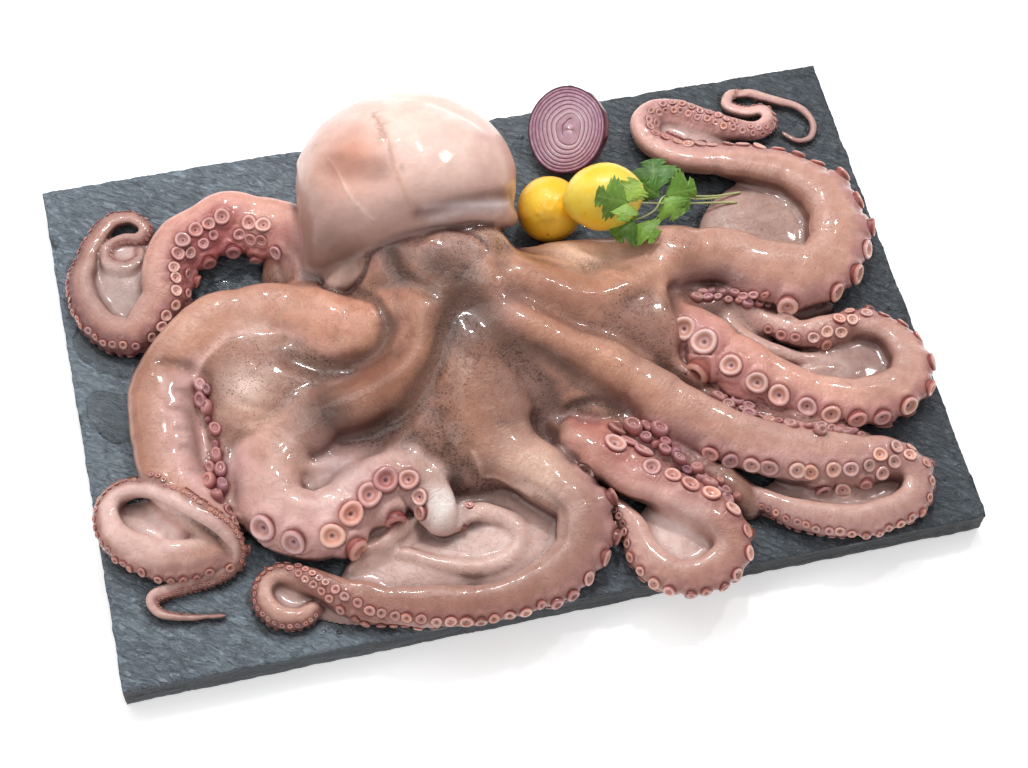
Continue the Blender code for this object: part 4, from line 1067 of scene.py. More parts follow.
def skinColours(places, normals):
    allRows = np.vstack(list(routes.values()))
    frames = [armFrames(rows) for rows in routes.values()]
    outs = np.vstack([f[1] for f in frames])
    share = np.concatenate([np.linspace(0, 1, len(rows)) for rows in routes.values()])
    run = np.concatenate([skinValues["sampleStep"] * np.arange(len(rows)) for rows in routes.values()])
    armOf = np.concatenate([np.full(len(rows), k) for k, rows in enumerate(routes.values())])
    _, which = nearest(places, allRows[:, :3], allRows[:, 3])
    away = places - allRows[which, :3]
    away /= np.maximum(np.linalg.norm(away, axis=1), 1e-6)[:, None]
    oral = (away * outs[which]).sum(1)
    along = share[which]
    ragged = noiseAt(places, 0.007, 24) + 0.5 * noiseAt(places, 0.003, 25)
    colours = np.zeros((len(places), 3))
    for k, stops in enumerate(armColours.values()):
        mine = armOf[which] == k
        at = [stop[0] for stop in stops]
        smooth = np.array([srgb(*stop[1]) for stop in stops])
        cups = np.array([srgb(*stop[2]) for stop in stops])
        mix = softStep(oral[mine] + 0.22 * ragged[mine], -0.1, 0.75)[:, None]
        one = np.column_stack([np.interp(along[mine], at, column) for column in smooth.T])
        two = np.column_stack([np.interp(along[mine], at, column) for column in cups.T])
        colours[mine] = one * (1 - mix) + two * mix
    body = sampleField(bodyField, places)
    arm = sampleField(armsField, places)
    web = sampleField(webField, places)
    mantle = sampleField(mantleField, places)
    # painted highlight along the smooth side of each arm, where the skin faces up
    ridge = softStep(-oral, 0.25, 0.95) * softStep(normals[:, 2], 0.2, 0.9)
    pigment = softStep(-oral + 0.3 * ragged, 0.0, 0.9) * softStep(places[:, 2], 0.004, 0.012)
    colours = colours * (1 - np.outer(pigment * (1 - softStep(along, 0.5, 0.9)), (0.16, 0.20, 0.22)))
    colours = painted(colours, "armRidgeHighlight", ridge * softStep(along, 0.12, 0.3))
    onCrown = softStep(arm - body, -0.001, 0.007) * softStep(mantle, 0.0, 0.003)
    colours = painted(colours, "crown", onCrown)
    onWeb = softStep(arm - web, 0.0, 0.003) * softStep(body - web, -0.002, 0.002)
    colours = painted(colours, "web", onWeb)
    # along the folds: painted shade in the valleys, and paler orange on the ridges, partly a painted
    # highlight
    for line, width, height in bodyFolds.values():
        near = np.exp(-(nearLine(places, line) / (1.25 * width)) ** 2) * softStep(mantle, 0.0, 0.003)
        colours = painted(colours, "valleyShade" if height < 0 else "ridge", min(abs(height) / 0.005, 1) * near)
    # from the field's curvature: painted shade in the crown's hollows, and paler orange on its bulges, partly
    # a painted highlight
    room = 0.006
    sides = [side * room * axis for axis in np.eye(3) for side in (-1, 1)]
    curve = sum(sampleField(skinField, places + step) for step in sides) / room
    central = 1 - softStep(np.hypot(*(places[:, :2] - crownMiddle).T), 0.085, 0.150)
    central *= softStep(mantle, 0.0, 0.003)
    bulging, sunken = softStep(curve, 0.16, 0.46), softStep(-curve, -0.08, 0.26)
    colours = painted(colours, "bulge", bulging * central)
    colours = painted(colours, "hollow", sunken * central)
    for x, y, height, reach, colour, most in placeColours.values():
        far = ((places - (x, y, height)) ** 2).sum(1) / reach**2
        colours = blendTo(colours, colour, most * np.exp(-far * 1.4))
    onMantle = softStep(np.minimum(body, arm) - mantle, -0.0005, 0.0025) * softStep(-mantle, -0.030, -0.020)
    paint = np.tile(srgb(*mantleGround), (len(places), 1))
    for middle, reach, colour, most in mantleColours.values():
        far = ((places - middle) ** 2).sum(1) / reach**2
        paint = blendTo(paint, colour, most * np.exp(-far * 1.2))
    colours = colours * (1 - onMantle[:, None]) + paint * onMantle[:, None]
    for line, width, _, colour, most in skinLines.values():
        colours = blendTo(colours, colour, most * np.exp(-(nearLine(places, line) / (1.2 * width)) ** 2))
    # painted shade on the skin round the foot of each sucker
    gap, cup = nearest(places, foot)
    cupFootShadeMask = np.exp(-((gap / (1.20 * radius[cup])) ** 4))
    colours = painted(colours, "cupFootShade", cupFootShadeMask)
    # painted shade low on the skin near the slate, not on the webs
    low = 1 - softStep(places[:, 2], 0.001, 0.009)
    colours = painted(colours, "shadeNearSlate", low * (1 - onWeb))
    # painted shade where nearby skin shuts a place in; less at the open rims, on the mantle and on webs
    lit = sum(np.exp(-((places - spot) ** 2).sum(1) / 0.026**2) for spot in skinValues["openRims"]).clip(0, 1)
    for reach, most in ((0.0030, 0.85), (0.008, 0.65)):
        shut = np.clip(1 - sampleField(skinField, places + reach * normals) / reach, 0, 1) * (1 - 0.9 * lit)
        closed = most * softStep(shut, 0.08, 0.70) * (1 - 0.6 * onMantle) * (1 - 0.55 * onWeb)
        colours = painted(colours, "shutInShade", closed)
    blotch = noiseAt(places, 0.014, 21) * 0.5 + noiseAt(places, 0.006, 22) * 0.5
    blotch *= 1 + 1.1 * onCrown - 0.25 * onMantle
    colours *= 1 + np.outer(blotch, (0.08, 0.11, 0.12))
    patchy = 0.75 + 0.35 * noiseAt(places, 0.016, 23)
    speckle = 0.12 + 0.88 * onCrown + 0.45 * softStep(-oral, -0.1, 0.7) * (1 - softStep(along, 0.3, 0.8))
    speckle = np.clip(speckle * patchy, 0, 1)
    speckle *= (1 - 0.5 * onWeb) * (0.75 + 0.5 * sunken * central)
    speckle *= 1 - 0.95 * np.exp(-1.2 * ((places - placeColours["whiteWeb"][:3]) ** 2).sum(1) / 0.026**2)
    speckle *= (1 - 0.9 * onMantle) * (1 - 0.5 * lit)
    ribbed = (1 - onCrown) * (1 - onMantle) * (1 - onWeb)
    return colours, {"speckle": speckle, "mantle": onMantle, "along": run[which], "ribbed": ribbed}


def paintSkin(mesh):
    colours, masks = skinColours(pointsOf(mesh), normalsOf(mesh))
    setColour(mesh, "tint", colours)
    for name, values in masks.items():
        setNumber(mesh, name, values)


# shader helpers

def newMaterial(name, **values):
    material = bpy.data.materials.new(name)
    material.use_nodes = True
    shader = material.node_tree.nodes["Principled BSDF"]
    for socket, value in values.items():
        shader.inputs[socket.replace("_", " ")].default_value = value
    return material, material.node_tree, shader


def wire(tree, target, value):
    # links a socket, and sets anything else
    if isinstance(value, bpy.types.NodeSocket):
        tree.links.new(value, target)
    else:
        target.default_value = value


def node(tree, kind, **inputs):
    made = tree.nodes.new(kind)
    for name, value in inputs.items():
        wire(tree, made.inputs[name.replace("_", " ")], value)
    return made


def mathNode(tree, operation, one, two=0.0):
    made = tree.nodes.new("ShaderNodeMath")
    made.operation = operation
    wire(tree, made.inputs[0], one)
    wire(tree, made.inputs[1], two)
    return made.outputs[0]


def plus(tree, one, two):
    return mathNode(tree, "ADD", one, two)


def minus(tree, one, two):
    return mathNode(tree, "SUBTRACT", one, two)


def times(tree, one, two):
    return mathNode(tree, "MULTIPLY", one, two)


def mixColours(tree, share, one, two, how="MIX"):
    made = tree.nodes.new("ShaderNodeMix")
    made.data_type = "RGBA"
    made.blend_type = how
    wire(tree, made.inputs[0], share)
    for target, value in ((made.inputs[6], one), (made.inputs[7], two)):
        wire(tree, target, value if isinstance(value, bpy.types.NodeSocket) else (*value, 1))
    return made.outputs[2]


def tinted(tree, colour, by, share=1.0):
    return mixColours(tree, share, colour, by, "MULTIPLY")


def noise(tree, place, scale, detail=2.0, roughness=0.5, distortion=0.0):
    made = node(tree, "ShaderNodeTexNoise", Vector=place, Scale=scale, Detail=detail,
                Roughness=roughness, Distortion=distortion)
    return made.outputs[0]


def ramp(tree, value, low, high):
    made = tree.nodes.new("ShaderNodeMapRange")
    made.interpolation_type = "SMOOTHSTEP"
    made.clamp = True
    tree.links.new(value, made.inputs["Value"])
    made.inputs["From Min"].default_value = low
    made.inputs["From Max"].default_value = high
    return made.outputs["Result"]


def attribute(tree, name, output="Fac"):
    made = tree.nodes.new("ShaderNodeAttribute")
    made.attribute_name = name
    return made.outputs[output]


def objectPlace(tree):
    return tree.nodes.new("ShaderNodeTexCoord").outputs["Object"]


def newGroup(name, inputs, outputs):
    group = bpy.data.node_groups.new(name, "ShaderNodeTree")
    for label, kind, value in inputs:
        socket = group.interface.new_socket(label, in_out="INPUT", socket_type=kind)
        if value is not None:
            socket.default_value = value
    for label, kind in outputs:
        group.interface.new_socket(label, in_out="OUTPUT", socket_type=kind)
    return group, group.nodes.new("NodeGroupInput"), group.nodes.new("NodeGroupOutput")


def useGroup(tree, group, **inputs):
    made = tree.nodes.new("ShaderNodeGroup")
    made.node_tree = group
    for name, value in inputs.items():
        wire(tree, made.inputs[name], value)
    return made.outputs


def finishShader(tree, shader, colour, height, strength, distance):
    # the colour, and the height as a bump
    bump = node(tree, "ShaderNodeBump", Height=height, Strength=strength, Distance=distance)
    tree.links.new(colour, shader.inputs["Base Color"])
    tree.links.new(bump.outputs[0], shader.inputs["Normal"])


def makeSpeckleGroup():
    # round colour cells of two sizes; one random number sets a cell's reach, another its strength
    group, given, result = newGroup(
        "pigmentCells",
        [("Place", "NodeSocketVector", None), ("Amount", "NodeSocketFloat", 0.5),
         ("Scale", "NodeSocketFloat", 420.0)],
        [("Mask", "NodeSocketFloat")])
    masks = []
    for factor in (1.0, 2.3):
        scale = times(group, given.outputs["Scale"], factor)
        cells = node(group, "ShaderNodeTexVoronoi", Vector=given.outputs["Place"], Scale=scale)
        chance = node(group, "ShaderNodeSeparateColor", Color=cells.outputs["Color"])
        reach = times(group, chance.outputs[0], given.outputs["Amount"])
        edge = minus(group, times(group, reach, 0.74), cells.outputs["Distance"])
        strength = plus(group, 0.45, times(group, chance.outputs[1], 0.55))
        masks.append(times(group, ramp(group, edge, -0.05, 0.10), strength))
    both = mathNode(group, "MAXIMUM", masks[0], times(group, masks[1], 0.75))
    group.links.new(both, result.inputs["Mask"])
    return group


def makeWetGroup():
    # fine creases and pores under a wet film, as a height
    group, given, result = newGroup(
        "wetSkinRelief", [("Place", "NodeSocketVector", None), ("Scale", "NodeSocketFloat", 260.0)],
        [("Height", "NodeSocketFloat"), ("Blotch", "NodeSocketFloat")])
    place, scale = given.outputs["Place"], given.outputs["Scale"]
    wide = noise(group, place, times(group, scale, 0.30))
    height = plus(group, times(group, noise(group, place, scale, 4.0, 0.6), 0.55), wide)
    group.links.new(height, result.inputs["Height"])
    group.links.new(wide, result.inputs["Blotch"])
    return group


speckleGroup = makeSpeckleGroup()
wetGroup = makeWetGroup()


def makeSkinMaterial():
    material, tree, shader = newMaterial(
        "octopusSkin", Roughness=0.36, IOR=1.40, Subsurface_Weight=0.20, Subsurface_Scale=0.004,
        Subsurface_Radius=(1.0, 0.42, 0.30), Coat_Roughness=0.07, Coat_IOR=1.36)
    place = objectPlace(tree)
    speckle, mantle = attribute(tree, "speckle"), attribute(tree, "mantle")
    relief = useGroup(tree, wetGroup, Place=place, Scale=330.0)
    dots = useGroup(tree, speckleGroup, Place=place, Amount=speckle, Scale=600.0)
    # mottled pale and dark, less on the mantle, and flushed along veins
    tint = attribute(tree, "tint", "Color")
    blotch = ramp(tree, relief["Blotch"], 0.32, 0.68)
    dark, pale = tinted(tree, tint, (0.94, 0.90, 0.89)), tinted(tree, tint, (1.06, 1.07, 1.07))
    colour = mixColours(tree, times(tree, mantle, 0.45), mixColours(tree, blotch, dark, pale), tint)
    veins = noise(tree, place, 95.0, 5.0, 0.65, 0.8)
    colour = tinted(tree, colour, (0.96, 0.80, 0.76), times(tree, ramp(tree, veins, 0.50, 0.75), 0.22))
    # pigment as clouds, cells and grains, all where the skin is speckled
    clouds = ramp(tree, noise(tree, place, 210.0, 3.0, 0.7), 0.50, 0.64)
    colour = tinted(tree, colour, (0.52, 0.46, 0.45), times(tree, clouds, times(tree, speckle, 0.34)))
    colour = tinted(tree, colour, (0.36, 0.28, 0.27), times(tree, dots["Mask"], 0.92))
    grains = ramp(tree, noise(tree, place, 1500.0, 2.0, 0.7), 0.50, 0.62)
    colour = tinted(tree, colour, (0.60, 0.52, 0.50), times(tree, grains, times(tree, speckle, 0.42)))
    # creases wind where a noise passes its middle value, hardly on the mantle; they are dented and darkened
    # as painted shade
    winding = minus(tree, noise(tree, place, 78.0, 3.0, 0.55, 1.4), 0.5)
    crease = ramp(tree, mathNode(tree, "ABSOLUTE", winding), 0.0, 0.030)
    crease = mathNode(tree, "MAXIMUM", crease, times(tree, mantle, 0.85))
    colour = tinted(tree, colour, (0.62, 0.52, 0.50), times(tree, minus(tree, 1.0, crease), 0.20))
    # ribs across the arms: a sine of the way along them, warped by the veins, in patches
    warped = plus(tree, attribute(tree, "along"), times(tree, veins, 0.012))
    patches = ramp(tree, relief["Blotch"], 0.42, 0.62)
    patches = times(tree, patches, times(tree, attribute(tree, "ribbed"), 0.2))
    ribs = times(tree, mathNode(tree, "SINE", times(tree, warped, 1500.0)), patches)
    depth = plus(tree, 0.28, times(tree, speckle, 0.30))
    height = plus(tree, plus(tree, relief["Height"], ribs), times(tree, crease, depth))
    finishShader(tree, shader, colour, height, 0.42, 0.0014)
    tree.links.new(minus(tree, 0.85, times(tree, mantle, 0.45)), shader.inputs["Coat Weight"])
    return material


def makeSuckerMaterial():
    material, tree, shader = newMaterial(
        "suckerSkin", Roughness=0.32, IOR=1.40, Subsurface_Weight=0.2, Subsurface_Scale=0.003,
        Subsurface_Radius=(1.0, 0.42, 0.32), Coat_Weight=0.8, Coat_Roughness=0.05, Coat_IOR=1.33)
    relief = useGroup(tree, wetGroup, Place=objectPlace(tree), Scale=420.0)
    blotch = ramp(tree, relief["Blotch"], 0.35, 0.65)
    colour = tinted(tree, attribute(tree, "tint", "Color"), (1.06, 1.03, 1.02), blotch)
    finishShader(tree, shader, colour, relief["Height"], 0.2, 0.0008)
    return material


makeCamera(cameraValues)
makeLights(lightValues)

skinMaterial = makeSkinMaterial()
suckerMaterial = makeSuckerMaterial()
skin = meshPiece("octopus_skin", points, quads, None, "octopus_skin")
fewer = skin.modifiers.new("fewer", "DECIMATE")
fewer.ratio = skinValues["triangles"] / (2 * len(quads))
fewer.use_collapse_triangulate = True
graph = bpy.context.evaluated_depsgraph_get()
thinned = bpy.data.meshes.new_from_object(skin.evaluated_get(graph))
skin.modifiers.clear()
skin.data = thinned
paintSkin(thinned)
thinned.shade_smooth()
thinned.transform(Matrix.Translation((0, 0, slateTop)))
thinned.materials.clear()
thinned.materials.append(skinMaterial)
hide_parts("octopus")
say(f"skin with {len(thinned.polygons)} triangles, coloured")

# a sucker from the middle of its underside round its rim to the hole: (radius, height, colour)
# in both profiles, the dark ring where a cup meets the skin and the dark colour at the hole are painted shade
cupProfile = [
    (0.80, -0.60, (190, 130, 122)), (0.92, -0.20, (170, 108, 102)), (0.99, 0.02, (138, 80, 78)),
    (1.04, 0.17, (186, 124, 116)), (1.00, 0.31, (228, 178, 166)), (0.89, 0.40, (248, 214, 202)),
    (0.75, 0.41, (250, 218, 206)), (0.61, 0.31, (232, 182, 162)), (0.46, 0.17, (218, 164, 144)),
    (0.31, 0.08, (232, 194, 186)), (0.19, 0.05, (214, 172, 164)), (0.11, -0.02, (158, 114, 108)),
]
plainCupProfile = [
    (0.82, -0.50, (184, 126, 118)), (0.98, 0.02, (150, 92, 88)), (1.03, 0.20, (200, 142, 132)),
    (0.82, 0.37, (240, 198, 184)), (0.50, 0.18, (214, 162, 148)), (0.18, 0.02, (158, 112, 106)),
]


def makeCups(name, profile, sides, some):
    # rings of the profile round each axis, waved a little, each cup in its own way
    rng = np.random.default_rng(suckerValues["cupSeed"])
    place, away, size = foot[some], axis[some], radius[some]
    count, rings = len(place), len(profile)
    side = sideways[some] - (sideways[some] * away).sum(1)[:, None] * away
    side /= np.linalg.norm(side, axis=1)[:, None]
    other = np.cross(away, side)
    turn = np.linspace(0, 2 * np.pi, sides, endpoint=False)
    phase = rng.uniform(0, 2 * np.pi, (count, 3))
    narrow = np.where(pinched[some], rng.uniform(0.6, 0.8, count), rng.uniform(0.88, 1.0, count))
    narrow = narrow[:, None, None, None]
    tall = np.where(pinched[some], rng.uniform(1.2, 1.7, count), rng.uniform(0.8, 1.2, count))[:, None, None]
    inner = np.linspace(0, 1, rings)
    closed = np.where(pinched[some], rng.uniform(0.6, 1.0, count), 0)[:, None]
    shut = closed + 0.72 * raised[some][:, None]
    wave = 1 + 0.045 * np.cos(2 * (turn - phase[:, :1])) + 0.03 * np.cos(3 * (turn - phase[:, 1:2]))
    lift = 0.09 * np.cos(turn - phase[:, 2:3])
    radii = np.array([p[0] for p in profile])[None] * (1 - shut * inner**1.5 * 0.60)
    heights = np.array([p[1] for p in profile])[None] + 0.10 + 0.56 * closed * inner**2
    reach = size[:, None, None] * radii[:, :, None] * wave[:, None, :]
    rise = size[:, None, None] * (heights[:, :, None] * tall + lift[:, None, :] * radii[:, :, None])
    rings3 = (place[:, None, None] + reach[..., None] * (narrow * np.cos(turn)[:, None] * side[:, None, None]
              + np.sin(turn)[:, None] * other[:, None, None]) + rise[..., None] * away[:, None, None])
    ends = [
        place + (size * (heights[:, k] * tall[:, 0, 0] + shift))[:, None] * away
        for k, shift in ((0, 0.0), (-1, -0.06))]
    each = rings * sides + 2
    points = [rings3.reshape(count, -1, 3), ends[0][:, None], ends[1][:, None]]
    points = np.concatenate(points, 1).reshape(-1, 3)
    quads = np.array(tubeFaces(rings, sides))
    k = np.arange(sides)
    after = (k + 1) % sides
    bottom = np.column_stack([np.full(sides, each - 2), after, k])
    hole = np.column_stack([np.full(sides, each - 1), (rings - 1) * sides + k, (rings - 1) * sides + after])
    starts = np.arange(count)[:, None, None] * each
    fans = np.vstack([bottom, hole])[None] + starts
    faces = [*(quads[None] + starts).reshape(-1, 4).tolist(), *fans.reshape(-1, 3).tolist()]
    sample = [*quads.tolist(), *np.vstack([bottom, hole]).tolist()]
    if outward(points[:each], sample) is not sample:
        faces = [f[::-1] for f in faces]
    tint = np.array([srgb(*p[2]) for p in profile])
    cupTint = np.vstack([np.repeat(tint, sides, axis=0), tint[0], srgb(*suckerValues["hole"])])[None]
    local = skinColours(place + 0.0001 * away, away)[0][:, None]
    blend = 0.22 + 0.5 * (1 - size / suckerValues["large"]) + 0.45 * raised[some]
    blend = np.clip(blend, 0.22, 0.75)[:, None, None]
    light = cupTint / tint.mean(0)
    colours = cupTint * (1 - blend) + blend * local * light
    warm = rng.uniform(0, 1, (count, 1, 1)) ** 1.5
    cool = rng.uniform(0, 1, (count, 1, 1)) ** 2 + 0.7 * pinched[some][:, None, None]
    flat = 0.7 * closed[:, :, None]
    colours = colours * (1 - flat) + flat * colours.mean(1, keepdims=True)
    colours = colours * (1 + 0.09 * rng.normal(0, 1, (count, 1, 1)))
    colours = colours * (1 + warm * suckerValues["warmer"])
    colours = colours * (1 - cool * suckerValues["cooler"])
    dusk = sum(
        np.exp(-((place[:, :2] - (x, y)) ** 2).sum(1) / reach**2) for x, y, reach in suckerValues["dusky"])
    colours = colours * (1 - dusk.clip(0, 1)[:, None, None] * suckerValues["duskier"])
    piece = meshPiece(name, points, faces, suckerMaterial, "octopus_skin")
    setColour(piece.data, "tint", np.clip(colours, 0, 1).reshape(-1, 3))
    piece.data.transform(Matrix.Translation((0, 0, slateTop)))


big = radius > suckerValues["large"]
makeCups("suckers_large", cupProfile, 18, big)
makeCups("suckers_small", plainCupProfile, 10, ~big)
say(f"{big.sum()} large and {(~big).sum()} small suckers")

# slate board: a top grid with cleft relief, hewn sides and a flat underside

slateValues = {
    "step": 0.0019,
    "relief": 0.0009,  # from the highest layer to the lowest
    "chips": 0.0010,  # how far the edge is broken in
    "edgeReach": 0.0045,
    "margin": 0.0004,
    "sideRows": 9,
    "seed": 31,
}


def makeSlate():
    seed = slateValues["seed"]
    margin, axes = slateValues["margin"], []
    for low, high in zip(boardLow[:2], boardHigh[:2]):
        loose = np.arange(low + margin, high, slateValues["step"])
        axes.append(np.linspace(loose[0], high - margin, len(loose)))
    x, y = axes
    layers = 0.6 * valueNoise([x, y], 0.085, seed) + 0.3 * valueNoise([x, y], 0.022, seed + 1)
    layers = 2.6 * (layers + 0.12 * valueNoise([x, y], 0.006, seed + 2))
    stairs = np.floor(layers) + softStep(layers - np.floor(layers), 0.38, 0.62)
    stairs = (stairs - stairs.min()) / (stairs.max() - stairs.min()) - 1
    height = slateValues["relief"] * (0.55 * stairs + 0.06 * valueNoise([x, y], 0.003, seed + 3) - 0.06)
    across, along = np.meshgrid(x, y, indexing="ij")
    insetX, insetY = np.minimum(across - x[0], x[-1] - across), np.minimum(along - y[0], y[-1] - along)
    insets = (np.minimum(insetX, insetY), insetX, insetY)
    edge, nearX, nearY = (1 - softStep(inset, 0, slateValues["edgeReach"]) for inset in insets)
    crumble = np.abs(valueNoise([x, y], 0.013, seed + 4)) * 0.6
    crumble = crumble + np.abs(valueNoise([x, y], 0.004, seed + 5)) * 0.4
    height -= 0.0020 * edge * crumble
    pull = slateValues["chips"] * crumble * edge
    centreX, centreY = (x[0] + x[-1]) / 2, (y[0] + y[-1]) / 2
    across -= np.sign(across - centreX) * pull * nearX
    along -= np.sign(along - centreY) * pull * nearY
    top = np.stack([across, along, slateTop + height], -1).reshape(-1, 3)
    nx, ny = len(x), len(y)
    cell = (np.arange(nx - 1)[:, None] * ny + np.arange(ny - 1)).ravel()
    quads = np.column_stack([cell, cell + ny, cell + ny + 1, cell + 1])
    rim = np.r_[
        np.arange(nx) * ny, (nx - 1) * ny + np.arange(1, ny),
        np.arange(nx - 2, -1, -1) * ny + ny - 1, np.arange(ny - 2, 0, -1)]
    run = np.arange(len(rim)) * slateValues["step"]
    corner = top[rim]
    facing = np.column_stack([
        np.sign(corner[:, 0] - centreX) * nearX.ravel()[rim],
        np.sign(corner[:, 1] - centreY) * nearY.ravel()[rim]])
    facing /= np.maximum(np.linalg.norm(facing, axis=1), 1e-6)[:, None]
    depth = np.linspace(0, 1, slateValues["sideRows"] + 1)[1:] ** 1.15
    ledges = valueNoise([run, depth], 0.16, seed + 6) * 0.5
    ledges = ledges + valueNoise([run, depth * 0.06], 0.009, seed + 7) * 0.5
    rows = []
    for k, share in enumerate(depth):
        out = 0.0007 * ledges[:, k] - 0.0008 * (share > 0.99) - 0.0002
        row = corner.copy()
        row[:, :2] += facing * out[:, None]
        row[:, :2] = np.clip(row[:, :2], np.array(boardLow[:2]) + 0.0001, np.array(boardHigh[:2]) - 0.0001)
        row[:, 2] = corner[:, 2] * (1 - share) + (boardLow.z + 0.0001) * share
        rows.append(row)
    below = np.array([[centreX, centreY, boardLow.z + 0.0001]])
    points = np.vstack([top, *rows, below])
    count, start = len(rim), len(top)
    k = np.arange(count)
    after = (k + 1) % count
    faces = quads.tolist()
    faces += np.column_stack([rim[k], start + k, start + after, rim[after]]).tolist()
    for row in range(len(depth) - 1):
        a, b = start + row * count, start + (row + 1) * count
        faces += np.column_stack([a + k, b + k, b + after, a + after]).tolist()
    last = start + (len(depth) - 1) * count
    faces += np.column_stack([last + k, np.full(count, len(points) - 1), last + after]).tolist()
    board = meshPiece("slate", points, faces, makeSlateMaterial(), "slate")
    # a band round the octopus: wet slate, also darkened as a painted contact shadow
    reach = sampleField(skinField, np.column_stack([points[:, :2], np.full(len(points), 0.0014)]))
    ragged = 0.003 + 0.0035 * (noiseAt(points[:, :2], 0.011, 41) + 0.5 * noiseAt(points[:, :2], 0.004, 42))
    wetAndShadow = 1 - softStep(reach, ragged, ragged + 0.0022)
    wetAndShadow *= (points[:, 2] > slateTop - 0.004) & (np.abs(points[:, 0]) < 0.304)
    setNumber(board.data, "wetAndShadow", wetAndShadow)
    setNumber(board.data, "cleft", np.r_[stairs.ravel(), np.full(len(points) - len(top), -0.5)])
    setNumber(board.data, "side", np.arange(len(points)) >= len(top))
    board.data.update()
    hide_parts("slate_board")


def makeSlateMaterial():
    material, tree, shader = newMaterial("slate", IOR=1.5, Coat_Roughness=0.08, Coat_IOR=1.33)
    place = objectPlace(tree)
    flat = node(tree, "ShaderNodeMapping", Vector=place, Scale=(1.0, 1.0, 5.0)).outputs[0]
    turned = node(tree, "ShaderNodeMapping", Vector=place, Rotation=(0.0, 0.0, 0.62)).outputs[0]
    drawn = node(tree, "ShaderNodeMapping", Vector=turned, Scale=(1.0, 2.6, 4.0)).outputs[0]
    cloud = noise(tree, flat, 9.0, 5.0, 0.6)
    grain = noise(tree, flat, 190.0, 4.0, 0.65)
    flake = noise(tree, flat, 42.0, 5.0, 0.62, 0.8)
    ripple = noise(tree, drawn, 125.0, 3.0, 0.6, 1.1)
    colour = mixColours(tree, ramp(tree, cloud, 0.3, 0.7), srgb(64, 70, 76), srgb(82, 90, 96))
    colour = mixColours(tree, ramp(tree, grain, 0.60, 0.80), colour, srgb(98, 107, 114))
    colour = mixColours(tree, times(tree, ramp(tree, ripple, 0.50, 0.72), 0.8), colour, srgb(104, 113, 120))
    # paler at the left than at the right, as a painted reflection of the softbox at the left
    across = node(tree, "ShaderNodeSeparateXYZ", Vector=place).outputs[0]
    right = ramp(tree, plus(tree, across, times(tree, cloud, 0.12)), -0.15, 0.30)
    pale, dull = tinted(tree, colour, (2.20, 2.23, 2.26)), tinted(tree, colour, (0.92, 0.92, 0.94))
    colour = mixColours(tree, right, pale, dull)
    colour = mixColours(tree, ramp(tree, flake, 0.62, 0.78), colour, srgb(36, 39, 42))
    furrow = minus(tree, 1.0, ramp(tree, ripple, 0.30, 0.52))
    colour = tinted(tree, colour, (0.35, 0.36, 0.37), times(tree, furrow, 0.6))
    colour = tinted(tree, colour, (0.26, 0.26, 0.27), attribute(tree, "side"))
    wetAndShadow = attribute(tree, "wetAndShadow")
    # darker in the band round the octopus: wet slate and a painted contact shadow
    colour = tinted(tree, colour, (0.22, 0.22, 0.23), times(tree, wetAndShadow, 0.8))
    dry = plus(tree, 0.36, times(tree, grain, 0.22))
    tree.links.new(minus(tree, dry, times(tree, wetAndShadow, 0.26)), shader.inputs["Roughness"])
    tree.links.new(times(tree, wetAndShadow, 0.6), shader.inputs["Coat Weight"])
    height = plus(tree, plus(tree, times(tree, grain, 0.4), flake), times(tree, ripple, 1.9))
    height = plus(tree, height, times(tree, attribute(tree, "cleft"), 1.4))
    finishShader(tree, shader, colour, height, 0.9, 0.0018)
    return material


makeSlate()
say("slate")

# water: shallow pools at the left and beads over the slate

waterValues = {
    "pools": allInMetres({  # middles (x, y, half width) that run together
        "upperLeft": [(-287, 70, 6), (-280, 56, 7), (-268, 46, 8), (-258, 40, 8)],
        "lowerLeft": [(-283, 14, 10), (-274, 4, 12), (-271, -8, 9), (-266, 12, 7)],
        "inBend": [(-190, 82, 11), (-176, 88, 10), (-160, 94, 9), (-186, 68, 10)],
    }),
    "deep": 0.0009,
    "step": 0.0009,
    "beads": 210,
    "beadSizes": (0.0005, 0.0021),
}


def makeWaterMaterial():
    material, tree, shader = newMaterial("water", Roughness=0.03, IOR=1.33, Transmission_Weight=1.0)
    ripple = noise(tree, objectPlace(tree), 60.0, 1.0)
    faint = mixColours(tree, ramp(tree, ripple, 0.3, 0.7), (0.96, 0.98, 0.99), (0.90, 0.93, 0.94))
    finishShader(tree, shader, faint, ripple, 0.12, 0.001)
    return material


def makePools(material):
    # depth over the slate: a rounded edge inside joined circles, polygonised as the skin is
    step, rise, room = waterValues["step"], 0.0004, 0.018
    shapes = []
    for middles in waterValues["pools"].values():
        rows = smoothRoute([(x, y, 0, half, 0) for x, y, half in middles], 0.002)
        low, high = rows[:, :2].min(0) - room, rows[:, :2].max(0) + room
        axes = [np.arange(low[k], high[k], step) for k in (0, 1)] + [np.arange(-0.0012, 0.0024, rise)]
        x, y = np.meshgrid(axes[0], axes[1], indexing="ij")
        edge = np.full(x.shape, 1.0)
        for px, py, _, half, _ in rows:
            edge = smoothMin(edge, np.hypot(x - px, y - py) - half, 0.006)
        edge += 0.0016 * valueNoise(axes[:2], 0.008, 51)
        depth = waterValues["deep"] * np.sqrt(np.clip(-edge / 0.003, 0, 1))
        z = axes[2][None, None]
        field = np.maximum(z - depth[:, :, None], -0.0005 - z)
        field = np.maximum(field, edge[:, :, None] * 0.5)
        points, quads = netOver(field, np.array([a[0] for a in axes]), np.array([step, step, rise]))
        shapes.append((points + [0, 0, slateTop], quads))
    meshPiece("pools", *joined(shapes), material)


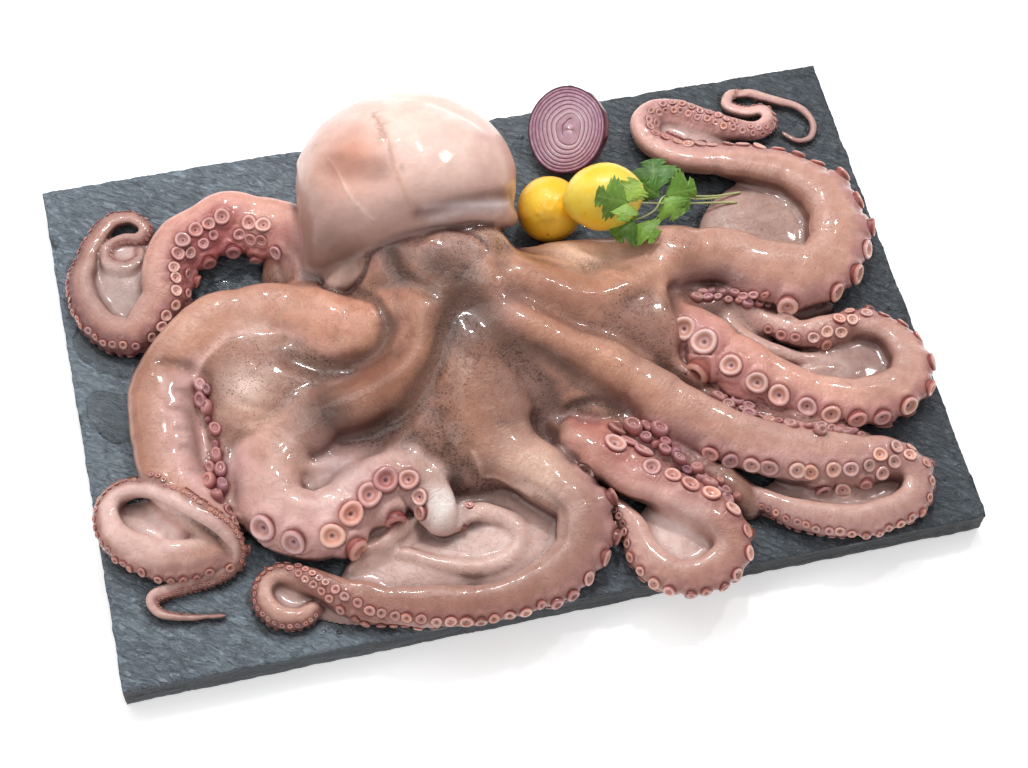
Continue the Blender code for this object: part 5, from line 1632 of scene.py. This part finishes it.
def makeBeads(material):
    # low caps of water near the octopus, each a tube of rings on a flat foot
    rng = np.random.default_rng(61)
    tries, edge = 6000, 0.006
    x = rng.uniform(boardLow.x + edge, boardHigh.x - edge, tries)
    y = rng.uniform(boardLow.y + edge, boardHigh.y - edge, tries)
    away = sampleField(skinField, np.column_stack([x, y, np.full(tries, 0.0014)]))
    near = (away > 0.0035) & (rng.uniform(0, 1, tries) < np.exp(-away / 0.012))
    x, y = (values[near][:waterValues["beads"]] for values in (x, y))
    least, most = waterValues["beadSizes"]
    size = (least + rng.uniform(0, 1, len(x)) ** 2.2 * (most - least))[:, None, None]
    turn = np.linspace(0, 2 * np.pi, 9, endpoint=False)
    radii = np.array([0.96, 1.0, 0.86, 0.52, 0.18])[:, None]
    tall = np.array([-0.30, 0.0, 0.34, 0.54, 0.60])[:, None]
    stretch = rng.uniform(0.75, 1.3, len(x))[:, None, None]
    rings = np.stack([
        x[:, None, None] + size * radii * np.cos(turn) * stretch,
        y[:, None, None] + size * radii * np.sin(turn),
        slateTop - 0.0003 + size * tall + 0 * turn], -1)
    meshPiece("water_beads", *joined(closedTube(bead) for bead in rings), material)


waterMaterial = makeWaterMaterial()
makePools(waterMaterial)
makeBeads(waterMaterial)
say("water")

# lemons

lemonValues = {
    "radius": 0.0240,
    "nipple": 0.0032,
    "near": {"node": "lemon_near", "halfLength": 0.0275, "axis": (-0.30, -0.62, 0.72), "seed": 71},
    "high": {"node": "lemon_high", "halfLength": 0.0295, "axis": (-0.95, 0.10, -0.14), "seed": 72},
    "rings": 72,
    "sides": 96,
}


def boxMiddle(name):
    low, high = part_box(name)
    return np.array((low + high) / 2)


def turnTo(axis):
    return np.array(Vector((0, 0, 1)).rotation_difference(Vector(axis)).to_matrix())


def makeLemon(name, spec, material):
    # radius times sin(t)^0.92 round the axis, height cos(t) with a nipple that grows as cos(t)^9
    t = np.linspace(0.012, np.pi - 0.012, lemonValues["rings"])[:, None]
    turn = np.linspace(0, 2 * np.pi, lemonValues["sides"], endpoint=False)[None]
    body = spec["halfLength"] - lemonValues["nipple"]
    radius = lemonValues["radius"] * np.sin(t) ** 0.92 * np.ones_like(turn)
    radius *= 1 + 0.010 * np.cos(3 * turn + 1.2) * np.sin(t) + 0.006 * np.cos(5 * turn - 0.6 + 2 * t)
    height = body * np.cos(t) + np.sign(np.cos(t)) * lemonValues["nipple"] * np.abs(np.cos(t)) ** 9 + 0 * turn
    dimple = np.exp(-(((t - 0.30) / 0.11) ** 2)) + np.exp(-(((np.pi - t - 0.30) / 0.11) ** 2))
    radius -= 0.0007 * dimple * (1 + 0.4 * np.cos(6 * turn))
    rings = np.stack([radius * np.cos(turn), radius * np.sin(turn), height], -1)
    flat = rings.reshape(-1, 3)
    dents = noiseAt(flat + 1, 0.0022, spec["seed"]) * 0.00012
    dents = dents + noiseAt(flat + 1, 0.012, spec["seed"] + 5) * 0.00035
    rings += (dents / np.linalg.norm(flat, axis=1)).reshape(*rings.shape[:2], 1) * rings
    points, faces = closedTube(rings)
    ends = np.r_[np.abs(np.cos(t) * np.ones_like(turn)).ravel() ** 24, 1, 1]
    placed = points @ turnTo(spec["axis"]).T
    placed += boxMiddle(spec["node"]) - (placed.min(0) + placed.max(0)) / 2
    lemon = meshPiece(name, placed, faces, material, "lemon_peel")
    setNumber(lemon.data, "end", ends)
    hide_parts(spec["node"])
    return lemon


def makeLemonMaterial():
    material, tree, shader = newMaterial(
        "lemonPeel", Roughness=0.36, IOR=1.45, Subsurface_Weight=0.15, Subsurface_Scale=0.003,
        Subsurface_Radius=(1.0, 0.6, 0.1), Coat_Weight=0.25, Coat_Roughness=0.18)
    place = objectPlace(tree)
    pores = node(tree, "ShaderNodeTexVoronoi", Vector=place, Scale=760.0).outputs["Distance"]
    cloud = noise(tree, place, 34.0, 3.0)
    stain = ramp(tree, noise(tree, place, 95.0, 3.0, 0.6), 0.68, 0.76)
    above = ramp(tree, node(tree, "ShaderNodeSeparateXYZ", Vector=place).outputs[2], 0.036, 0.098)
    colour = mixColours(tree, ramp(tree, cloud, 0.35, 0.65), srgb(254, 210, 50), srgb(255, 230, 96))
    colour = mixColours(tree, above, tinted(tree, colour, (1.12, 0.86, 0.45)), colour)
    colour = mixColours(tree, times(tree, attribute(tree, "end"), 0.5), colour, srgb(196, 140, 30))
    colour = mixColours(tree, times(tree, stain, 0.6), colour, srgb(170, 112, 24))
    dark = times(tree, minus(tree, 1.0, ramp(tree, pores, 0.05, 0.30)), 0.22)
    colour = mixColours(tree, dark, colour, srgb(214, 140, 10))
    height = plus(tree, ramp(tree, pores, 0.0, 0.4), times(tree, cloud, 0.8))
    finishShader(tree, shader, colour, height, 0.32, 0.0006)
    return material


def makeCellMaterial(name, scale, shift, strength, distance, **values):
    # a painted colour that shifts in small patches, with the same noise as its relief
    material, tree, shader = newMaterial(name, **values)
    cells = noise(tree, objectPlace(tree), scale, 3.0)
    colour = tinted(tree, attribute(tree, "tint", "Color"), shift, ramp(tree, cells, 0.35, 0.65))
    finishShader(tree, shader, colour, cells, strength, distance)
    return material


peel = makeLemonMaterial()
makeLemon("lemon_near_fruit", lemonValues["near"], peel)
makeLemon("lemon_high_fruit", lemonValues["high"], peel)
say("lemons")

# half a red onion

onionValues = {
    "node": "onion_half",
    "radius": 0.0325,
    "depth": 0.029,
    "faces": (-0.62, -0.28, 0.73),
    "coreOffset": (0.0035, -0.0015),
    "layers": [0.34, 0.455, 0.56, 0.655, 0.745, 0.83, 0.905],
    "flesh": (224, 198, 208),
    "fleshDeep": (164, 120, 144),
    "line": (112, 62, 88),
    "skin": (84, 36, 58),
    "streak": (134, 66, 84),
}


def makeOnion(material):
    # share 0 at the core to 1 at the edge of the cut face, grooved where the layers part, and a round back
    turn = np.linspace(0, 2 * np.pi, 128, endpoint=False)[None]
    share = np.linspace(0.02, 1, 110)[:, None]
    coreX, coreY = onionValues["coreOffset"]
    rim = onionValues["radius"] * (1 + 0.008 * np.cos(3 * turn + 0.5) + 0.006 * np.cos(5 * turn))
    x = coreX * (1 - share) ** 1.2 + share * rim * np.cos(turn)
    y = coreY * (1 - share) ** 1.2 + share * rim * np.sin(turn)
    wave = 0.026 * np.cos(2 * turn + 0.9) + 0.014 * np.cos(3 * turn + 4 * share)
    wave = wave + 0.008 * np.cos(5 * turn - 2)
    wobble = share + wave * (1 - share) * 1.4
    groove = np.zeros_like(x)
    for k, layer in enumerate(onionValues["layers"]):
        groove = np.maximum(groove, np.exp(-(((wobble - layer) / (0.009 + 0.0006 * k)) ** 2)))
    crescent = np.exp(-(((wobble - 0.20) / 0.014) ** 2)) * softStep(np.cos(turn - 2.2), 0.0, 0.5)
    groove = np.maximum(groove, crescent)
    z = -0.0007 * groove - 0.0006 * share**8 + 0.0005 * np.cos(3 * turn) * (1 - share) ** 2
    face = np.stack([x, y, z + 0 * turn], -1)
    t = np.linspace(np.pi / 2, 0.03, 40)[1:, None]
    ridge = 1 + 0.012 * np.cos(11 * turn + 0.4) * np.sin(t) ** 2 + 0.006 * np.cos(23 * turn) * np.sin(t)
    back = np.stack([rim * ridge * np.sin(t) * np.cos(turn), rim * ridge * np.sin(t) * np.sin(turn),
                     -onionValues["depth"] * np.cos(t) - 0.0006 + 0 * turn], -1)
    points, faces = closedTube(np.concatenate([face, back]))
    placed = points @ turnTo(onionValues["faces"]).T
    placed += boxMiddle(onionValues["node"]) - (placed.min(0) + placed.max(0)) / 2
    uneven = noiseAt(face.reshape(-1, 3)[:, :2], 0.002, 81).reshape(x.shape)
    flesh = blendTo(srgb(*onionValues["flesh"]), onionValues["fleshDeep"],
                    softStep(wobble, 0.2, 1.0) * 0.8 + 0.25 * uneven * share)
    between = (wobble[..., None] - np.array([0, *onionValues["layers"]])).clip(0, 1)
    within = np.min(np.where(between > 0, between, 1), axis=-1)
    flesh = blendTo(flesh, onionValues["fleshDeep"], 0.6 * softStep(within, 0.03, 0.10))
    flesh = blendTo(flesh, onionValues["line"], np.clip(groove * 0.85, 0, 1))
    flesh = blendTo(flesh, onionValues["skin"], softStep(share + 0 * turn, 0.945, 0.975))
    streak = 0.5 + 0.5 * np.cos(37 * turn + 3 * np.sin(7 * turn)) + 0 * t
    papery = blendTo(srgb(*onionValues["skin"]), onionValues["streak"], 0.5 * streak)
    colours = np.vstack([flesh.reshape(-1, 3), papery.reshape(-1, 3), flesh[0, :1], papery[-1, :1]])
    onion = meshPiece("onion_cut", placed, faces, material, "red_onion")
    setColour(onion.data, "tint", np.clip(colours, 0, 1))
    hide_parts(onionValues["node"])


makeOnion(makeCellMaterial(
    "redOnion", 520.0, (1.14, 1.10, 1.12), 0.25, 0.0005, Roughness=0.34, IOR=1.4, Subsurface_Weight=0.12,
    Subsurface_Scale=0.002, Coat_Weight=0.3, Coat_Roughness=0.12))
say("onion")

# parsley: lobed leaflets on thin stalks

parsleyValues = {
    "thick": 0.00035,
    "leaflets": [inMetres(row, 3) for row in (  # foot, tip, half width over length, turn in degrees, colour
        ((101, 53, 80), (76.5, 60, 86), 0.50, -14, (112, 150, 60)),
        ((100, 53, 81), (110, 69, 84), 0.55, 12, (158, 190, 80)),
        ((99, 53, 80), (93, 39, 78), 0.55, 8, (138, 176, 66)),
        ((133, 82.9, 40), (138.5, 111, 44), 0.55, -10, (74, 120, 48)),
        ((140, 79, 40), (165, 81.2, 40), 0.52, 14, (112, 160, 60)),
        ((139, 78.5, 39), (147, 62, 33), 0.62, -6, (128, 172, 72)),
        ((136.2, 80, 38), (123, 93, 42), 0.52, -12, (82, 128, 50)),
        ((109.6, 54.7, 49), (89.5, 44.3, 50), 0.55, 10, (98, 142, 50)),
        ((110.5, 53.5, 49), (121.5, 38, 49), 0.60, -10, (124, 166, 60)),
        ((109.6, 54.7, 49.5), (102.5, 67, 53), 0.45, 8, (92, 134, 48)),
    )],
    "stalks": inMetres([  # points, half width
        ([(109.6, 57.5, 48), (120, 62, 44), (130, 69, 40), (138.5, 79, 38),
          (152, 85, 28), (166.2, 89.3, 16), (185, 90, 9.5), (205, 90, 8.5)], 0.65),
        ([(101, 56, 79), (111, 62, 64), (125, 68, 50), (139, 74.5, 36),
          (164.7, 84.4, 14), (185, 84, 9.5), (199.7, 81.5, 9)], 0.65),
        ([(139, 78.5, 38), (152, 82, 30), (170, 87.2, 14), (190, 88, 9)], 0.55),
    ]),
    "stalkColour": (186, 192, 134),
    "vein": (164, 190, 112),
    "facing": (-0.16, -0.40, 0.90),  # towards which the blades turn
}


def makeLeaflets(material):
    # half width swells twice along the midrib towards three lobes, with teeth; the blade is cupped and veined
    shapes, colours = [], []
    t = np.linspace(0, 1, 44)[:, None]
    s = np.linspace(-1, 1, 25)[None]
    edge = np.abs(s)
    lobes = 0.38 + 0.62 * np.abs(np.sin(1.5 * np.pi * np.clip(t * 1.02, 0, 1) ** 1.15)) ** 0.7
    shape = np.sin(np.pi * t**0.72) ** 0.55 * lobes
    for k, (foot3, tip, broad, tilt, colour) in enumerate(parsleyValues["leaflets"]):
        start, end = np.array(foot3), np.array(tip)
        length = np.linalg.norm(end - start)
        forward = (end - start) / length
        turned = Matrix.Rotation(math.radians(tilt), 3, Vector(forward))
        upward = np.cross(np.cross(forward, parsleyValues["facing"]), forward)
        upward = np.array(turned @ Vector(upward).normalized())
        side = np.cross(upward, forward)
        teeth = 1 + 0.13 * np.cos(2 * np.pi * (t * 8 + k * 0.37 + 0.15 * np.sign(s)))
        half = 1.15 * length * broad * shape * teeth
        run = t * length * 0.94 + 0.34 * length * broad * edge**1.6 * shape
        twigs = np.exp(-(((t * 5 - edge * 1.3 + k * 0.2) % 1.0 - 0.5) / 0.12) ** 2) * (edge > 0.06)
        vein = np.exp(-((s / 0.07) ** 2)) + 0.6 * twigs
        cup = -0.16 * half * edge**1.5 + 0.10 * length * np.sin(np.pi * t) - 0.00030 * vein
        cup = cup + 0.05 * length * np.sin(5 * t + 3 * s + k) * edge
        blade = start + run[..., None] * forward + (s * half)[..., None] * side + cup[..., None] * upward
        thick = (parsleyValues["thick"] * (1 - 0.8 * edge**4) + 0 * t)[..., None] * upward
        rings = np.concatenate([blade + 0.5 * thick, (blade - 0.5 * thick)[:, ::-1]], axis=1)
        shapes.append(closedTube(rings))
        green = srgb(*colour) * (0.86 + 0.14 * np.cos(3 * t + 2 * s))[..., None]
        green = blendTo(green, parsleyValues["vein"], np.clip(0.30 * vein, 0, 1))
        both = np.concatenate([green, green[:, ::-1] * 0.9], 1)
        colours += [both.reshape(-1, 3), green[0, 12:13], green[-1, 12:13]]
    points, faces = joined(shapes)
    leaves = meshPiece("parsley_leaves", points + (0, 0, slateTop), faces, material)
    setColour(leaves.data, "tint", np.clip(np.vstack(colours), 0, 1))


def makeStalks(material):
    shapes = []
    turn = np.linspace(0, 2 * np.pi, 9, endpoint=False)[None, :, None]
    for line, half in parsleyValues["stalks"]:
        rows = smoothRoute([(*p, half, 0) for p in line], 0.002)
        _, out, across = armFrames(rows)
        taper = half * (1 + 0.3 * np.linspace(0, 1, len(rows)))[:, None, None]
        around = np.cos(turn) * out[:, None] + np.sin(turn) * across[:, None]
        shapes.append(closedTube(rows[:, None, :3] + taper * around))
    points, faces = joined(shapes)
    stalks = meshPiece("parsley_stalks", points + (0, 0, slateTop), faces, material)
    setColour(stalks.data, "tint", np.tile(srgb(*parsleyValues["stalkColour"]), (len(points), 1)))


parsley = makeCellMaterial("parsley", 420.0, (1.15, 1.12, 1.08), 0.3, 0.0004, Roughness=0.42, IOR=1.42,
                           Subsurface_Weight=0.1, Subsurface_Scale=0.001)
makeLeaflets(parsley)
makeStalks(parsley)
say("parsley")

# floor

floorMaterial, _, floorShader = newMaterial("paleFloor", Roughness=0.9)
floorShader.inputs["Base Color"].default_value = (*lightValues["floorColour"], 1)
floorShader.inputs["Emission Color"].default_value = (1, 1, 1, 1)
floorShader.inputs["Emission Strength"].default_value = lightValues["floorGlow"]
floor = bpy.data.meshes.new("floor")
floor.from_pydata([(-6, -6, -0.001), (6, -6, -0.001), (6, 6, -0.001), (-6, 6, -0.001)], [], [(0, 1, 2, 3)])
floor.materials.append(floorMaterial)
floorPiece = bpy.data.objects.new("floor", floor)
bpy.context.scene.collection.objects.link(floorPiece)

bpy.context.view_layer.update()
say("done")
